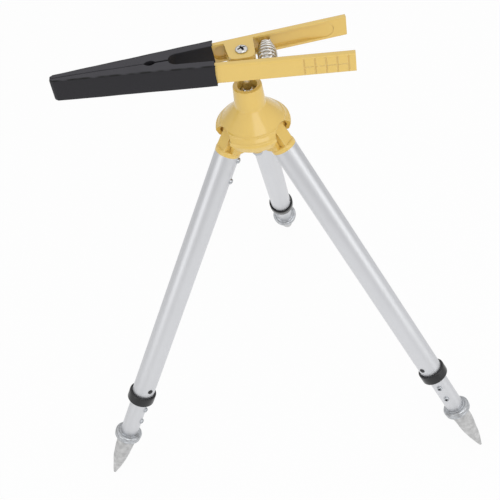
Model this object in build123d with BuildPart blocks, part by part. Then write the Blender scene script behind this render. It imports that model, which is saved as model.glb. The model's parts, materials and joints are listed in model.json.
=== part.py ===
"""Clamp tripod for ranging rods and prism poles.

A spring clamp with rubber-sleeved jaws turns and tilts on a ball joint in a coned die-cast head.
Three telescopic aluminium legs with spiked feet hinge in the head on cross pins.
The origin is on the ground under the head, +Z is up, and the clamp lies along X with its jaws at -X.
"""

import os
from math import acos, atan2, cos, degrees, pi, radians, sin, sqrt, tan

from build123d import *

os.makedirs("parts", exist_ok=True)

# Driving dimensions, in millimetres and degrees

# Clearances
running_fit = 0.05  # radial, between a pin and what turns or slides on it
seat_fit = 0.02  # radial, between parts that are pressed or screwed together
face_gap = 0.3  # between faces that move past each other
edge_match = 0.01  # how near an edge lies to where it is looked for

# Legs: distances run down the leg from its hinge pin
leg_azimuths = {"back": 84.2, "left": 204.2, "right": 324.2}
leg_spread = 28.9  # from the vertical
pin_circle_radius = 18.0
pin_diameter = 5.0
tongue_thickness = 12.0
tongue_top_radius = 7.5
tongue_base_width = 18.0
pin_to_flange = 16.4
plug_flange_diameter = 22.5
plug_flange_thickness = 4.5
plug_flange_round = 2.0
plug_spigot_length = 34.0
plug_core_diameter = 11.0
plug_core_depth = 20.0
tube_diameter = 22.0
tube_wall = 1.2
tube_length = 288.4
bush_diameter = 26.6
bush_overlap = 6.9  # of the collar over the tube
bush_lip = 2.5  # of the collar past the tube
bush_sleeve_length = 24.0  # inside the tube
bush_round = 0.9
nub_diameter = 5.0
nub_from_tube_end = 16.0
nub_height = 0.9  # above the tube
inner_tube_diameter = 17.5
inner_tube_wall = 1.2
inner_tube_exposed = 44.6
foot_turns = {"back": -33.0, "left": -33.0, "right": 156.0}  # of the foot screws round each leg
foot_spigot_length = 42.0
foot_flange_diameter = 27.0
foot_flange_thickness = 7.0
foot_flange_round = 3.2
spike_diameter = 18.0
spike_length = 53.9
spike_bulge = 2.2  # of the ogive over a straight cone
spike_tip_radius = 1.5

# Twist lock inside each leg
lock_room = 4.1  # between the plug in the upper tube and the lock's stud
lock_stud_diameter = 6.0
lock_stud_length = 30.0
lock_flange_thickness = 3.0
lock_plug_length = 18.0
expander_length = 24.0
expander_slit = 1.6
expander_slit_length = 17.0

# Pan-head screws of the legs
screw_diameter = 2.9
screw_length = 6.0
screw_head_diameter = 5.5
screw_head_height = 1.8
plug_screw_turn = -40.0  # round the leg from the hinge axis
plug_screw_places = (3.5, 25.1)  # below the top of the tube
foot_screw_places = (34.4, 18.9)  # above the foot flange

# Head: heights run up from the hinge pins
neck_top = 40.1
neck_top_radius = 12.5
neck_base = 22.4
neck_base_radius = 13.5
neck_rim_round = 1.0
neck_fillet = 3.0
mouth_radius = 7.2
shoulder_height = 2.0
shoulder_radius = 33.0
shoulder_round = 3.0
head_wall = 4.0
skirt_drop = 7.5
skirt_round = 2.0
bead_heights = (6.4, 0.4)  # one on the cone, one under the shoulder
bead_half_width = 0.6
bead_proud = 0.35
cheek_thickness = 4.5
cheek_inner = 9.0
cheek_outer = 3.0
arch_half_width = 15.0
arch_top = 7.2
arch_flare = 2.0  # on each side, from the pins to the skirt
boss_radius = 6.2
boss_drop = 31.0
boss_collar_radius = 12.5
boss_collar_height = 17.0

# Ball joint
ball_diameter = 16.0
ball_drop = 9.0  # from the neck's rim to the centre of the ball
cup_depth = 2.0  # from the centre of the ball to the edge of the cup
cup_height = 6.6
disc_thickness = 0.7
disc_cone = 0.35
tension_screw_diameter = 5.0
tension_head_flats = 8.0
tension_head_height = 4.0
stem_diameter = 7.0
stem_shoulder_diameter = 13.0
stem_shoulder_thickness = 2.5
stem_cone_height = 2.0
pivot_diameter = 6.8

# Clamp: lengths run along X from the pivot
ball_to_clamp = 28.2  # from the centre of the ball to the underside of the arms
arm_half_span = 18.6  # from the pivot to the outer face of an arm
arm_tip_half_span = 2.9  # from the middle to that face at the jaw's tip
arm_handle_length = 87.8
arm_jaw_length = 151.0
arm_height = 17.8
arm_depth = 5.0
arm_web = 2.0
arm_flange = 2.0
arm_round = 2.0
pocket_jaw_end = -22.0
pocket_handle_margin = 11.0
lug_reach = 10.5  # past the pivot
lug_half_width = 10.5
lug_root = 14.0  # half width at the arm on the jaw side
lug_corner = 6.0
lug_levels = (0, 2)  # in lug pitches below the arm's top, with the other arm's lugs between
bush_wall = 1.0
pivot_flange_diameter = 13.0
pivot_flange_thickness = 1.5
pivot_screw_diameter = 4.0
pivot_screw_length = 12.0
pivot_head_diameter = 10.5
pivot_head_height = 3.0
grip_count = 5
grip_spacing = 8.8
grip_end_margin = 5.9
grip_width = 1.3
grip_depth = 0.6
grip_line_width = 0.7  # of the groove along the middle of the grip
grip_line_depth = 0.3

# Rubber sleeves on the jaws
sleeve_wall = 1.3
sleeve_start = -23.0
jaw_half_gap = 0.15
small_notch_place = -74.0
small_notch_length = 10.0
small_notch_depth = 3.0
slit_half_gap = 0.5
wide_notch_end = -59.0
wide_notch_round = 6.0

# Barrel spring between the arms
spring_place = 20.0  # along X
wire_diameter = 1.8
spring_turns = 9
spring_mid_diameter = 15.4
spring_end_diameter = 9.6
spring_end_bend = 2.4
spring_seat_gap = 0.2
spring_post_diameter = 5.4
spring_post_height = 4.0

# Places that follow from the sizes above

tube_top = pin_to_flange + plug_flange_thickness
tube_end = tube_top + tube_length
tube_bore = tube_diameter - 2 * tube_wall
collar_top = tube_end - bush_overlap
collar_end = tube_end + bush_lip
foot_top = collar_end + inner_tube_exposed
inner_top = tube_top + plug_spigot_length + lock_room + lock_stud_length + lock_flange_thickness
inner_tube_length = foot_top - inner_top
inner_bore = inner_tube_diameter - 2 * inner_tube_wall
spike_top = foot_top + foot_flange_thickness
leg_tip = spike_top + spike_length

spread = radians(leg_spread)
pin_height = (leg_tip - spike_tip_radius) * cos(spread) + spike_tip_radius
skirt_height = pin_height - skirt_drop
boss_foot = pin_height - boss_drop
cone_lean = atan2(shoulder_radius - neck_base_radius, neck_base - shoulder_height)
ball_centre = pin_height + neck_top - ball_drop
ball_radius = ball_diameter / 2
cup_top = ball_centre - cup_depth
cup_bottom = cup_top - cup_height
spring_stack = 2 * (disc_thickness + disc_cone)
bore_floor = cup_bottom - spring_stack
arm_bottom = ball_centre + ball_to_clamp
arm_top = arm_bottom + arm_height
arm_middle = arm_bottom + arm_height / 2
slope = (arm_half_span - arm_tip_half_span) / arm_jaw_length
lean = cos(atan2(slope, 1))
lug_pitch = (arm_height + face_gap) / 4
lug_thickness = lug_pitch - face_gap
pivot_bush_radius = pivot_diameter / 2 + running_fit + bush_wall
pivot_bush_top = arm_top + face_gap
stem_top = pivot_bush_top + face_gap
slot_half = tongue_thickness / 2 + face_gap

leg_screw_bore = screw_diameter / 2 + seat_fit


def save(part, name):
    """Label a finished piece and write it as its own STEP file."""
    part.label = name
    export_step(part, f"parts/{name}.step")


def leg_frame(azimuth):
    """Plane at a leg's hinge pin: X along the pin, Y out from the head, Z down the leg."""
    turn = radians(azimuth)
    out = Vector(cos(turn), sin(turn), 0)
    along_pin = Vector(-sin(turn), cos(turn), 0)
    down = out * sin(spread) - Vector(0, 0, 1) * cos(spread)
    return Plane(origin=out * pin_circle_radius + Vector(0, 0, pin_height), x_dir=along_pin, z_dir=down)


def leg_side(leg, shift=0.0):
    """Plane across a leg's hinge pin: X out from the head, Y down the leg."""
    return Plane(origin=leg.origin + leg.x_dir * shift, x_dir=leg.y_dir, z_dir=leg.x_dir)


def leg_profile(leg):
    """Plane through a leg's axis for turned pieces: X is the radius, Y runs down the leg."""
    return Plane(origin=leg.origin, x_dir=leg.x_dir, z_dir=leg.x_dir.cross(leg.z_dir))


def leg_surface(leg, turn, distance, radius):
    """Plane on the skin of a leg, with Z pointing straight out of it."""
    outward = leg.x_dir * cos(radians(turn)) + leg.y_dir * sin(radians(turn))
    return Plane(origin=leg.origin + leg.z_dir * distance + outward * radius, x_dir=leg.z_dir, z_dir=outward)


def turned(profile_plane, axis, points):
    """Solid of revolution of a closed outline of (radius, distance) points."""
    with BuildPart() as body:
        with BuildSketch(profile_plane):
            with BuildLine():
                Polyline(*points, close=True)
            make_face()
        revolve(axis=axis)
    return body.part


def pan_screws(planes, diameter, length, head_diameter, head_height):
    """Pan-head screws, one on each plane, as separate solids of one piece."""
    with BuildPart() as screws:
        for plane in planes:
            with BuildSketch(plane):
                Circle(head_diameter / 2)
            extrude(amount=head_height, taper=12)
            with BuildSketch(plane):
                Circle(diameter / 2)
            extrude(amount=-length)
    return screws.part


# Leg pieces


def make_leg_plug(leg):
    """Cast plug: a tongue on the hinge pin, a flange on the tube's end and a spigot inside it."""
    half = tongue_base_width / 2
    root = pin_to_flange + plug_flange_round
    with BuildPart() as plug:
        with BuildSketch(leg.offset(pin_to_flange)):
            Circle(plug_flange_diameter / 2)
        extrude(amount=plug_flange_thickness)
        rims = plug.edges().filter_by(GeomType.CIRCLE).sort_by(Axis(leg.origin, leg.z_dir))
        fillet(rims[0], radius=plug_flange_round)
        with BuildSketch(leg_side(leg)):
            with BuildLine():
                crown = CenterArc((0, 0), tongue_top_radius, 180, 180)
                Polyline(crown @ 1, (half, pin_to_flange), (half, root))
                Polyline((half, root), (-half, root), (-half, pin_to_flange), crown @ 0)
            make_face()
        extrude(amount=tongue_thickness / 2, both=True)
        with BuildSketch(leg.offset(tube_top)):
            Circle(tube_bore / 2 - seat_fit)
        extrude(amount=plug_spigot_length)
        with BuildSketch(leg.offset(tube_top + plug_spigot_length)):
            Circle(plug_core_diameter / 2)
        extrude(amount=-plug_core_depth, mode=Mode.SUBTRACT)
        with BuildSketch(leg_side(leg)):
            Circle(pin_diameter / 2 + running_fit)
        extrude(amount=tongue_thickness, both=True, mode=Mode.SUBTRACT)
        for place in plug_screw_places:
            with BuildSketch(leg_surface(leg, plug_screw_turn, tube_top + place, tube_diameter / 2)):
                Circle(leg_screw_bore)
            extrude(amount=-screw_length - seat_fit, mode=Mode.SUBTRACT)
    return plug.part


def make_outer_tube(leg):
    """Upper tube, drilled for the plug screws and for the guide bush's two snap nubs."""
    with BuildPart() as tube:
        with BuildSketch(leg.offset(tube_top)):
            Circle(tube_diameter / 2)
            Circle(tube_bore / 2, mode=Mode.SUBTRACT)
        extrude(amount=tube_length)
        for place in plug_screw_places:
            with BuildSketch(leg_surface(leg, plug_screw_turn, tube_top + place, tube_diameter / 2)):
                Circle(leg_screw_bore)
            extrude(amount=-2 * tube_wall, mode=Mode.SUBTRACT)
        with BuildSketch(leg_side(leg)):
            with Locations((0, tube_end - nub_from_tube_end)):
                Circle(nub_diameter / 2 + seat_fit)
        extrude(amount=tube_diameter, both=True, mode=Mode.SUBTRACT)
    return tube.part


def make_guide_bush(leg):
    """Plastic bush snapped into the tube's end: a collar outside and a thin guide sleeve inside."""
    guide = inner_tube_diameter / 2 + running_fit
    lining = tube_bore / 2 - seat_fit
    skin = tube_diameter / 2 + seat_fit
    rim = bush_diameter / 2
    sleeve_top = tube_end - bush_sleeve_length
    axis = Axis(leg.origin, leg.z_dir)
    with BuildPart() as bush:
        with BuildSketch(leg_profile(leg)):
            with BuildLine():
                Polyline(
                    (guide, sleeve_top),
                    (lining, sleeve_top),
                    (lining, tube_end),
                    (skin, tube_end),
                    (skin, collar_top),
                    (rim, collar_top),
                    (rim, collar_end),
                    (guide, collar_end),
                    close=True,
                )
            make_face()
        revolve(axis=axis)
        collar_edges = bush.edges().filter_by(
            lambda e: e.geom_type == GeomType.CIRCLE and abs(e.radius - rim) < edge_match
        )
        fillet(collar_edges, radius=bush_round)
        for turn in (0, 180):
            nub_reach = nub_height + tube_diameter / 2 - (guide + lining) / 2
            with BuildSketch(leg_surface(leg, turn, tube_end - nub_from_tube_end, (guide + lining) / 2)):
                Circle(nub_diameter / 2)
            extrude(amount=nub_reach)
    return bush.part


def make_inner_tube(leg, foot_turn):
    """Lower tube, drilled for the foot screws."""
    with BuildPart() as tube:
        with BuildSketch(leg.offset(inner_top)):
            Circle(inner_tube_diameter / 2)
            Circle(inner_bore / 2, mode=Mode.SUBTRACT)
        extrude(amount=inner_tube_length)
        for place in foot_screw_places:
            with BuildSketch(leg_surface(leg, foot_turn, foot_top - place, inner_tube_diameter / 2)):
                Circle(leg_screw_bore)
            extrude(amount=-2 * inner_tube_wall, mode=Mode.SUBTRACT)
    return tube.part


def make_foot_spike(leg, foot_turn):
    """Cast foot: a spigot in the tube, a rounded flange to tread on and an ogive spike."""
    spigot = inner_bore / 2 - seat_fit
    flange = foot_flange_diameter / 2
    base = spike_diameter / 2
    tip_centre = leg_tip - spike_tip_radius
    fall = degrees(acos((base - spike_tip_radius) / sqrt((base - spike_tip_radius) ** 2 + spike_length**2)))
    tip_side = spike_tip_radius * sin(radians(fall)), tip_centre + spike_tip_radius * cos(radians(fall))
    middle = (base + tip_side[0]) / 2 + spike_bulge, (spike_top + tip_side[1]) / 2
    axis = Axis(leg.origin, leg.z_dir)
    with BuildPart() as foot:
        with BuildSketch(leg_profile(leg)):
            with BuildLine():
                Polyline(
                    (base, spike_top),
                    (flange - foot_flange_round, spike_top),
                )
                RadiusArc(
                    (flange - foot_flange_round, spike_top),
                    (flange, spike_top - foot_flange_round),
                    foot_flange_round,
                )
                Line((flange, spike_top - foot_flange_round), (flange, foot_top + foot_flange_round))
                RadiusArc(
                    (flange, foot_top + foot_flange_round),
                    (flange - foot_flange_round, foot_top),
                    foot_flange_round,
                )
                Polyline(
                    (flange - foot_flange_round, foot_top),
                    (spigot, foot_top),
                    (spigot, foot_top - foot_spigot_length),
                    (0, foot_top - foot_spigot_length),
                    (0, leg_tip),
                )
                RadiusArc((0, leg_tip), tip_side, spike_tip_radius)
                ThreePointArc(tip_side, middle, (base, spike_top))
            make_face()
        revolve(axis=axis)
        for place in foot_screw_places:
            with BuildSketch(leg_surface(leg, foot_turn, foot_top - place, inner_tube_diameter / 2)):
                Circle(leg_screw_bore)
            extrude(amount=-screw_length - seat_fit, mode=Mode.SUBTRACT)
    return foot.part


def make_lock_stud(leg):
    """Plug in the top of the lower tube, with the threaded stud that spreads the lock."""
    plug = inner_bore / 2 - seat_fit
    rim = inner_tube_diameter / 2
    stud = lock_stud_diameter / 2
    shoulder = inner_top - lock_flange_thickness
    points = (
        (0, shoulder - lock_stud_length),
        (stud, shoulder - lock_stud_length),
        (stud, shoulder),
        (rim, shoulder),
        (rim, inner_top),
        (plug, inner_top),
        (plug, inner_top + lock_plug_length),
        (0, inner_top + lock_plug_length),
    )
    return turned(leg_profile(leg), Axis(leg.origin, leg.z_dir), points)


def make_lock_expander(leg):
    """Slit nylon sleeve on the stud, which the stud spreads against the upper tube."""
    shoulder = inner_top - lock_flange_thickness
    top = shoulder - face_gap - expander_length
    with BuildPart() as expander:
        with BuildSketch(leg.offset(top)):
            Circle(tube_bore / 2 - running_fit)
            Circle(lock_stud_diameter / 2 + running_fit, mode=Mode.SUBTRACT)
        extrude(amount=expander_length)
        with BuildSketch(leg.offset(top)):
            Rectangle(tube_bore, expander_slit)
            Rectangle(expander_slit, tube_bore)
        extrude(amount=expander_slit_length, mode=Mode.SUBTRACT)
    return expander.part


def make_hinge_pin(leg):
    """Cross pin through a leg's tongue and the two cheeks beside it."""
    with BuildPart() as pin:
        with BuildSketch(leg_side(leg)):
            Circle(pin_diameter / 2)
        extrude(amount=slot_half + cheek_thickness, both=True)
        chamfer(pin.edges().filter_by(GeomType.CIRCLE), length=pin_diameter / 10)
    return pin.part


legs = {name: leg_frame(azimuth) for name, azimuth in leg_azimuths.items()}
for name, leg in legs.items():
    foot_turn = foot_turns[name]
    plug_seats = [
        leg_surface(leg, plug_screw_turn, tube_top + place, tube_diameter / 2) for place in plug_screw_places
    ]
    foot_seats = [
        leg_surface(leg, foot_turn, foot_top - place, inner_tube_diameter / 2) for place in foot_screw_places
    ]
    screw_sizes = (screw_diameter, screw_length, screw_head_diameter, screw_head_height)
    save(make_hinge_pin(leg), f"{name}_hinge_pin")
    save(make_leg_plug(leg), f"{name}_leg_plug")
    save(pan_screws(plug_seats, *screw_sizes), f"{name}_plug_screws")
    save(make_outer_tube(leg), f"{name}_outer_tube")
    save(make_guide_bush(leg), f"{name}_guide_bush")
    save(make_lock_expander(leg), f"{name}_lock_expander")
    save(make_lock_stud(leg), f"{name}_lock_stud")
    save(make_inner_tube(leg, foot_turn), f"{name}_inner_tube")
    save(make_foot_spike(leg, foot_turn), f"{name}_foot_spike")
    save(pan_screws(foot_seats, *screw_sizes), f"{name}_foot_screws")

# Head casting: a coned bell with a neck, hollow underneath, with a central boss and cheeks for the legs

head_profile = Plane(origin=(0, 0, pin_height), x_dir=(1, 0, 0), z_dir=(0, -1, 0))


def head_bell(inset, drop):
    """Points of (radius, height) round the bell under the neck, set in from its skin, down to a drop."""
    side = shoulder_radius - inset
    knee = shoulder_height - inset * tan(cone_lean / 2)
    top_radius = side - (neck_base - knee) * tan(cone_lean)
    return (0, -drop), (side, -drop), (side, knee), (top_radius, neck_base), (0, neck_base)


def head_rings(part, height):
    """Circular edges of the head at a height above the hinge pins."""
    return part.edges().filter_by(
        lambda e: e.geom_type == GeomType.CIRCLE and abs(e.center().Z - pin_height - height) < edge_match
    )


with BuildPart() as head_core:
    for leg in legs.values():
        stop = pin_to_flange - face_gap
        low = sqrt(stop**2 - cheek_inner**2)
        for side in (slot_half, -slot_half - cheek_thickness):
            with BuildSketch(leg_side(leg, side)):
                with BuildLine():
                    Polyline((-cheek_inner, low), (-cheek_inner, -neck_top), (cheek_outer, -neck_top))
                    Polyline((cheek_outer, -neck_top), (cheek_outer, stop), (0, stop))
                    RadiusArc((0, stop), (-cheek_inner, low), -stop)
                make_face()
            extrude(amount=cheek_thickness)
    for leg in legs.values():
        with BuildSketch(leg_side(leg, -slot_half)):
            Circle(tongue_top_radius + face_gap)
        extrude(amount=2 * slot_half, mode=Mode.SUBTRACT)
    with BuildSketch(head_profile):
        with BuildLine():
            Polyline(
                (0, -skirt_drop),
                (boss_radius, -skirt_drop),
                (boss_radius, boss_collar_height),
                (boss_collar_radius, boss_collar_height),
                (boss_collar_radius, neck_base),
                (0, neck_base),
                close=True,
            )
        make_face()
    revolve(axis=Axis.Z)
    with BuildSketch(head_profile):
        with BuildLine():
            Polyline(*head_bell(head_wall / 2, boss_drop), close=True)
        make_face()
    revolve(axis=Axis.Z, mode=Mode.INTERSECT)

with BuildPart() as head_casting:
    with BuildSketch(head_profile):
        with BuildLine():
            Polyline(*head_bell(0, skirt_drop)[:-1], (neck_top_radius, neck_top), (0, neck_top), close=True)
        make_face()
    revolve(axis=Axis.Z)
    fillet(head_rings(head_casting, -skirt_drop), radius=skirt_round)
    fillet(head_rings(head_casting, shoulder_height), radius=shoulder_round)
    fillet(head_rings(head_casting, neck_base), radius=neck_fillet)
    fillet(head_rings(head_casting, neck_top), radius=neck_rim_round)
    with BuildSketch(head_profile):
        for height in bead_heights:
            rise = max(height - shoulder_height, 0)
            tilt = cone_lean if rise else 0
            foot = Vector(shoulder_radius - rise * tan(cone_lean), height)
            ridge = Vector(cos(tilt), sin(tilt)) * bead_proud
            flank = Vector(-sin(tilt), cos(tilt)) * bead_half_width
            with BuildLine():
                Polyline(foot + ridge, foot + flank, foot - ridge, foot - flank, close=True)
            make_face()
    revolve(axis=Axis.Z)
    with BuildSketch(head_profile):
        with BuildLine():
            Polyline(*head_bell(head_wall, skirt_drop + face_gap), close=True)
        make_face()
    revolve(axis=Axis.Z, mode=Mode.SUBTRACT)
    for leg in legs.values():
        outward = leg.x_dir.cross(Vector(0, 0, 1))
        window = Plane(origin=Vector(0, 0, pin_height), x_dir=leg.x_dir, z_dir=outward)
        with BuildSketch(window.offset(pin_circle_radius + cheek_outer)):
            with BuildLine():
                crown = EllipticalCenterArc((0, 0), arch_half_width, arch_top, start_angle=0, arc_size=180)
                foot = arch_half_width + arch_flare
                foot_line = -skirt_drop - face_gap
                Polyline(crown @ 1, (-foot, foot_line), (foot, foot_line), crown @ 0)
            make_face()
        extrude(amount=shoulder_radius, mode=Mode.SUBTRACT)
    add(head_core.part)
    with Locations((0, 0, skirt_height)):
        Cylinder(boss_radius, boss_drop - skirt_drop, align=(Align.CENTER, Align.CENTER, Align.MAX))
    for leg in legs.values():
        with BuildSketch(leg_side(leg)):
            Circle(pin_diameter / 2 + seat_fit)
        extrude(amount=slot_half + cheek_thickness + seat_fit, both=True, mode=Mode.SUBTRACT)
    with BuildSketch(Plane.XZ):
        with BuildLine():
            Polyline(
                (0, ball_centre),
                (ball_radius + running_fit, ball_centre),
                (ball_radius + running_fit, bore_floor),
                (tension_screw_diameter / 2 + seat_fit, bore_floor),
                (tension_screw_diameter / 2 + seat_fit, boss_foot),
                (0, boss_foot),
                close=True,
            )
        make_face()
    revolve(axis=Axis.Z, mode=Mode.SUBTRACT)
    with Locations((0, 0, ball_centre)):
        Sphere(ball_radius + running_fit, mode=Mode.SUBTRACT)
        above = (Align.CENTER, Align.CENTER, Align.MIN)
        Cylinder(mouth_radius, 2 * ball_drop, align=above, mode=Mode.SUBTRACT)
save(head_casting.part, "head_casting")

# Ball joint: the ball stud is pressed up into the neck by a nylon cup on two disc springs

with BuildPart() as ball_stud:
    with Locations((0, 0, ball_centre)):
        Sphere(ball_radius)
    shoulder = arm_bottom - face_gap - pivot_flange_thickness - face_gap
    with BuildSketch(Plane.XZ):
        with BuildLine():
            Polyline(
                (0, ball_centre),
                (stem_diameter / 2, ball_centre),
                (stem_diameter / 2, shoulder - stem_shoulder_thickness - stem_cone_height),
                (stem_shoulder_diameter / 2, shoulder - stem_shoulder_thickness),
                (stem_shoulder_diameter / 2, shoulder),
                (pivot_diameter / 2, shoulder),
                (pivot_diameter / 2, stem_top),
                (0, stem_top),
                close=True,
            )
        make_face()
    revolve(axis=Axis.Z)
    with Locations((0, 0, stem_top)):
        Cylinder(
            pivot_screw_diameter / 2 + seat_fit,
            pivot_screw_length + seat_fit,
            align=(Align.CENTER, Align.CENTER, Align.MAX),
            mode=Mode.SUBTRACT,
        )
save(ball_stud.part, "ball_stud")

with BuildPart() as ball_cup:
    with Locations((0, 0, cup_bottom)):
        Cylinder(ball_radius, cup_height, align=(Align.CENTER, Align.CENTER, Align.MIN))
    with Locations((0, 0, ball_centre)):
        Sphere(ball_radius + running_fit, mode=Mode.SUBTRACT)
save(ball_cup.part, "ball_cup")

disc_inner = tension_screw_diameter / 2 + face_gap
disc_outer = ball_radius - face_gap
with BuildPart() as disc_springs:
    with BuildSketch(Plane.XZ):
        for base, tilt in ((bore_floor, 0), (bore_floor + spring_stack / 2, disc_cone)):
            with BuildLine():
                Polyline(
                    (disc_inner, base + disc_cone - tilt),
                    (disc_outer, base + tilt),
                    (disc_outer, base + tilt + disc_thickness),
                    (disc_inner, base + disc_cone - tilt + disc_thickness),
                    close=True,
                )
            make_face()
    revolve(axis=Axis.Z)
save(disc_springs.part, "disc_springs")

with BuildPart() as tension_screw:
    with BuildSketch(Plane.XY.offset(boss_foot - seat_fit)):
        RegularPolygon(tension_head_flats / 2, 6, major_radius=False)
    extrude(amount=-tension_head_height)
    with BuildSketch(Plane.XY.offset(boss_foot - seat_fit)):
        Circle(tension_screw_diameter / 2)
    extrude(amount=bore_floor - boss_foot + spring_stack / 2)
save(tension_screw.part, "tension_screw")

# Clamp: two cast arms on the stem, the second one the first turned over


def outer_face(x):
    """Y of the far arm's outer face."""
    return arm_half_span + slope * x


def inner_face(x):
    """Y of the far arm's inner face, beside the pivot and the handle."""
    return outer_face(x) - arm_depth / lean


def arm_outline():
    """Plan of the far arm: a slanted bar whose jaw fills out to the middle plane."""
    face = jaw_half_gap + sleeve_wall
    block_end = wide_notch_end - sleeve_wall
    end = outer_face(arm_handle_length)
    step = arm_depth * slope * lean, arm_depth * lean
    Polyline(
        (-arm_jaw_length, face),
        (-arm_jaw_length, outer_face(-arm_jaw_length)),
        (arm_handle_length, end),
        (arm_handle_length + step[0], end - step[1]),
        (block_end, inner_face(block_end)),
        (block_end, face),
        close=True,
    )


notch_radius = (small_notch_length**2 / 4 + small_notch_depth**2) / (2 * small_notch_depth)
arm_pivot_plane = Plane(
    origin=(0, 0, arm_middle),
    x_dir=(lean, slope * lean, 0),
    z_dir=(-slope * lean, lean, 0),
)
outer_offset = arm_half_span * lean
handle_end = arm_handle_length * lean + outer_face(arm_handle_length) * slope * lean

with BuildPart() as far_arm:
    with BuildSketch(Plane.XY.offset(arm_bottom)):
        with BuildLine():
            arm_outline()
        make_face()
        with Locations((small_notch_place, small_notch_depth - notch_radius)):
            Circle(notch_radius + sleeve_wall, mode=Mode.SUBTRACT)
    extrude(amount=arm_height)
    outer_corners = far_arm.edges().filter_by(
        lambda e: e.length > arm_jaw_length
        and abs(arm_pivot_plane.to_local_coords(e.center()).Z - outer_offset) < edge_match
    )
    fillet(outer_corners, radius=arm_round)
    pocket_start = pocket_jaw_end / lean
    pocket_end = handle_end - pocket_handle_margin
    with BuildSketch(arm_pivot_plane.offset(outer_offset - arm_depth)):
        with Locations(((pocket_start + pocket_end) / 2, 0)):
            SlotOverall(pocket_end - pocket_start, arm_height - 2 * arm_flange)
    extrude(amount=arm_depth - arm_web, mode=Mode.SUBTRACT)
    for level in lug_levels:
        lug_top = arm_top - level * lug_pitch
        with BuildSketch(Plane.XY.offset(lug_top - lug_thickness)):
            with BuildLine():
                Polyline(
                    (-lug_root, outer_face(-lug_root) - arm_web / lean),
                    (-lug_half_width, -lug_reach),
                    (lug_half_width, -lug_reach),
                    (lug_half_width, outer_face(lug_half_width) - arm_web / lean),
                    close=True,
                )
            lug_face = make_face()
            fillet(lug_face.vertices().group_by(Axis.Y)[0], radius=lug_corner)
        extrude(amount=lug_thickness)
    with Locations((0, 0, arm_middle)):
        Cylinder(pivot_bush_radius + running_fit, 2 * arm_height, mode=Mode.SUBTRACT)
    with BuildSketch(arm_pivot_plane.offset(outer_offset - arm_web)):
        with Locations((spring_place / lean + arm_half_span * slope * lean, 0)):
            Circle(spring_post_diameter / 2)
    extrude(amount=-spring_post_height)
    for index in range(grip_count):
        with BuildSketch(arm_pivot_plane.offset(outer_offset)):
            with Locations((handle_end - grip_end_margin - index * grip_spacing, 0)):
                Rectangle(grip_width, arm_height)
        extrude(amount=-grip_depth, mode=Mode.SUBTRACT)
    grip_length = (grip_count - 1) * grip_spacing
    with BuildSketch(arm_pivot_plane.offset(outer_offset)):
        with Locations((handle_end - grip_end_margin - grip_length / 2, 0)):
            Rectangle(grip_length, grip_line_width)
    extrude(amount=-grip_line_depth, mode=Mode.SUBTRACT)
save(far_arm.part, "far_arm")

turn_over = Axis((0, 0, arm_middle), (1, 0, 0))
with BuildPart() as near_arm:
    add(far_arm.part.rotate(turn_over, 180))
save(near_arm.part, "near_arm")

with BuildPart() as far_sleeve:
    skin = sleeve_wall / lean
    tip = -arm_jaw_length - sleeve_wall
    with BuildSketch(Plane.XY.offset(arm_bottom - sleeve_wall)):
        with BuildLine():
            Polyline(
                (tip, jaw_half_gap),
                (tip, outer_face(tip) + skin),
                (sleeve_start, outer_face(sleeve_start) + skin),
                (sleeve_start, inner_face(sleeve_start) - skin),
            )
            wall_end = (wide_notch_end, inner_face(wide_notch_end) - skin)
            FilletPolyline(
                (sleeve_start, inner_face(sleeve_start) - skin),
                wall_end,
                (wide_notch_end, slit_half_gap),
                radius=wide_notch_round,
            )
            slit_end = small_notch_place + small_notch_length / 2
            Polyline((wide_notch_end, slit_half_gap), (slit_end, slit_half_gap), (slit_end, jaw_half_gap))
            Line((slit_end, jaw_half_gap), (tip, jaw_half_gap))
        make_face()
        with Locations((small_notch_place, small_notch_depth - notch_radius)):
            Circle(notch_radius, mode=Mode.SUBTRACT)
    extrude(amount=arm_height + 2 * sleeve_wall)
    with BuildSketch(Plane.XY.offset(arm_bottom)):
        with BuildLine():
            arm_outline()
        make_face()
        with Locations((small_notch_place, small_notch_depth - notch_radius)):
            Circle(notch_radius + sleeve_wall, mode=Mode.SUBTRACT)
    extrude(amount=arm_height, mode=Mode.SUBTRACT)
save(far_sleeve.part, "far_sleeve")

with BuildPart() as near_sleeve:
    add(far_sleeve.part.rotate(turn_over, 180))
save(near_sleeve.part, "near_sleeve")

with BuildPart() as pivot_bush:
    flange_bottom = arm_bottom - face_gap - pivot_flange_thickness
    bore = pivot_diameter / 2 + running_fit
    with BuildSketch(Plane.XZ):
        with BuildLine():
            Polyline(
                (bore, flange_bottom),
                (pivot_flange_diameter / 2, flange_bottom),
                (pivot_flange_diameter / 2, flange_bottom + pivot_flange_thickness),
                (pivot_bush_radius, flange_bottom + pivot_flange_thickness),
                (pivot_bush_radius, pivot_bush_top),
                (bore, pivot_bush_top),
                close=True,
            )
        make_face()
    revolve(axis=Axis.Z)
save(pivot_bush.part, "pivot_bush")

pivot_seat = Plane.XY.offset(stem_top)
pivot_sizes = (pivot_screw_diameter, pivot_screw_length, pivot_head_diameter, pivot_head_height)
save(pan_screws([pivot_seat], *pivot_sizes), "pivot_screw")

# Barrel spring: one wire wound in a barrel between the arms' webs

wire_radius = wire_diameter / 2
end_radius = (spring_end_diameter - wire_diameter) / 2
mid_radius = (spring_mid_diameter - wire_diameter) / 2
web_face = outer_offset - arm_web - spring_seat_gap
coil_reach = web_face / lean + spring_place * slope - spring_end_bend - 2 * wire_diameter


def coil_point(turn):
    """Point on the wire's centre line after a number of turns, swelling as a cosine to the middle."""
    share = 2 * turn / spring_turns - 1
    radius = end_radius + (mid_radius - end_radius) * cos(share * pi / 2)
    angle = 2 * pi * turn
    return Vector(spring_place + radius * cos(angle), share * coil_reach, arm_middle + radius * sin(angle))


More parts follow.
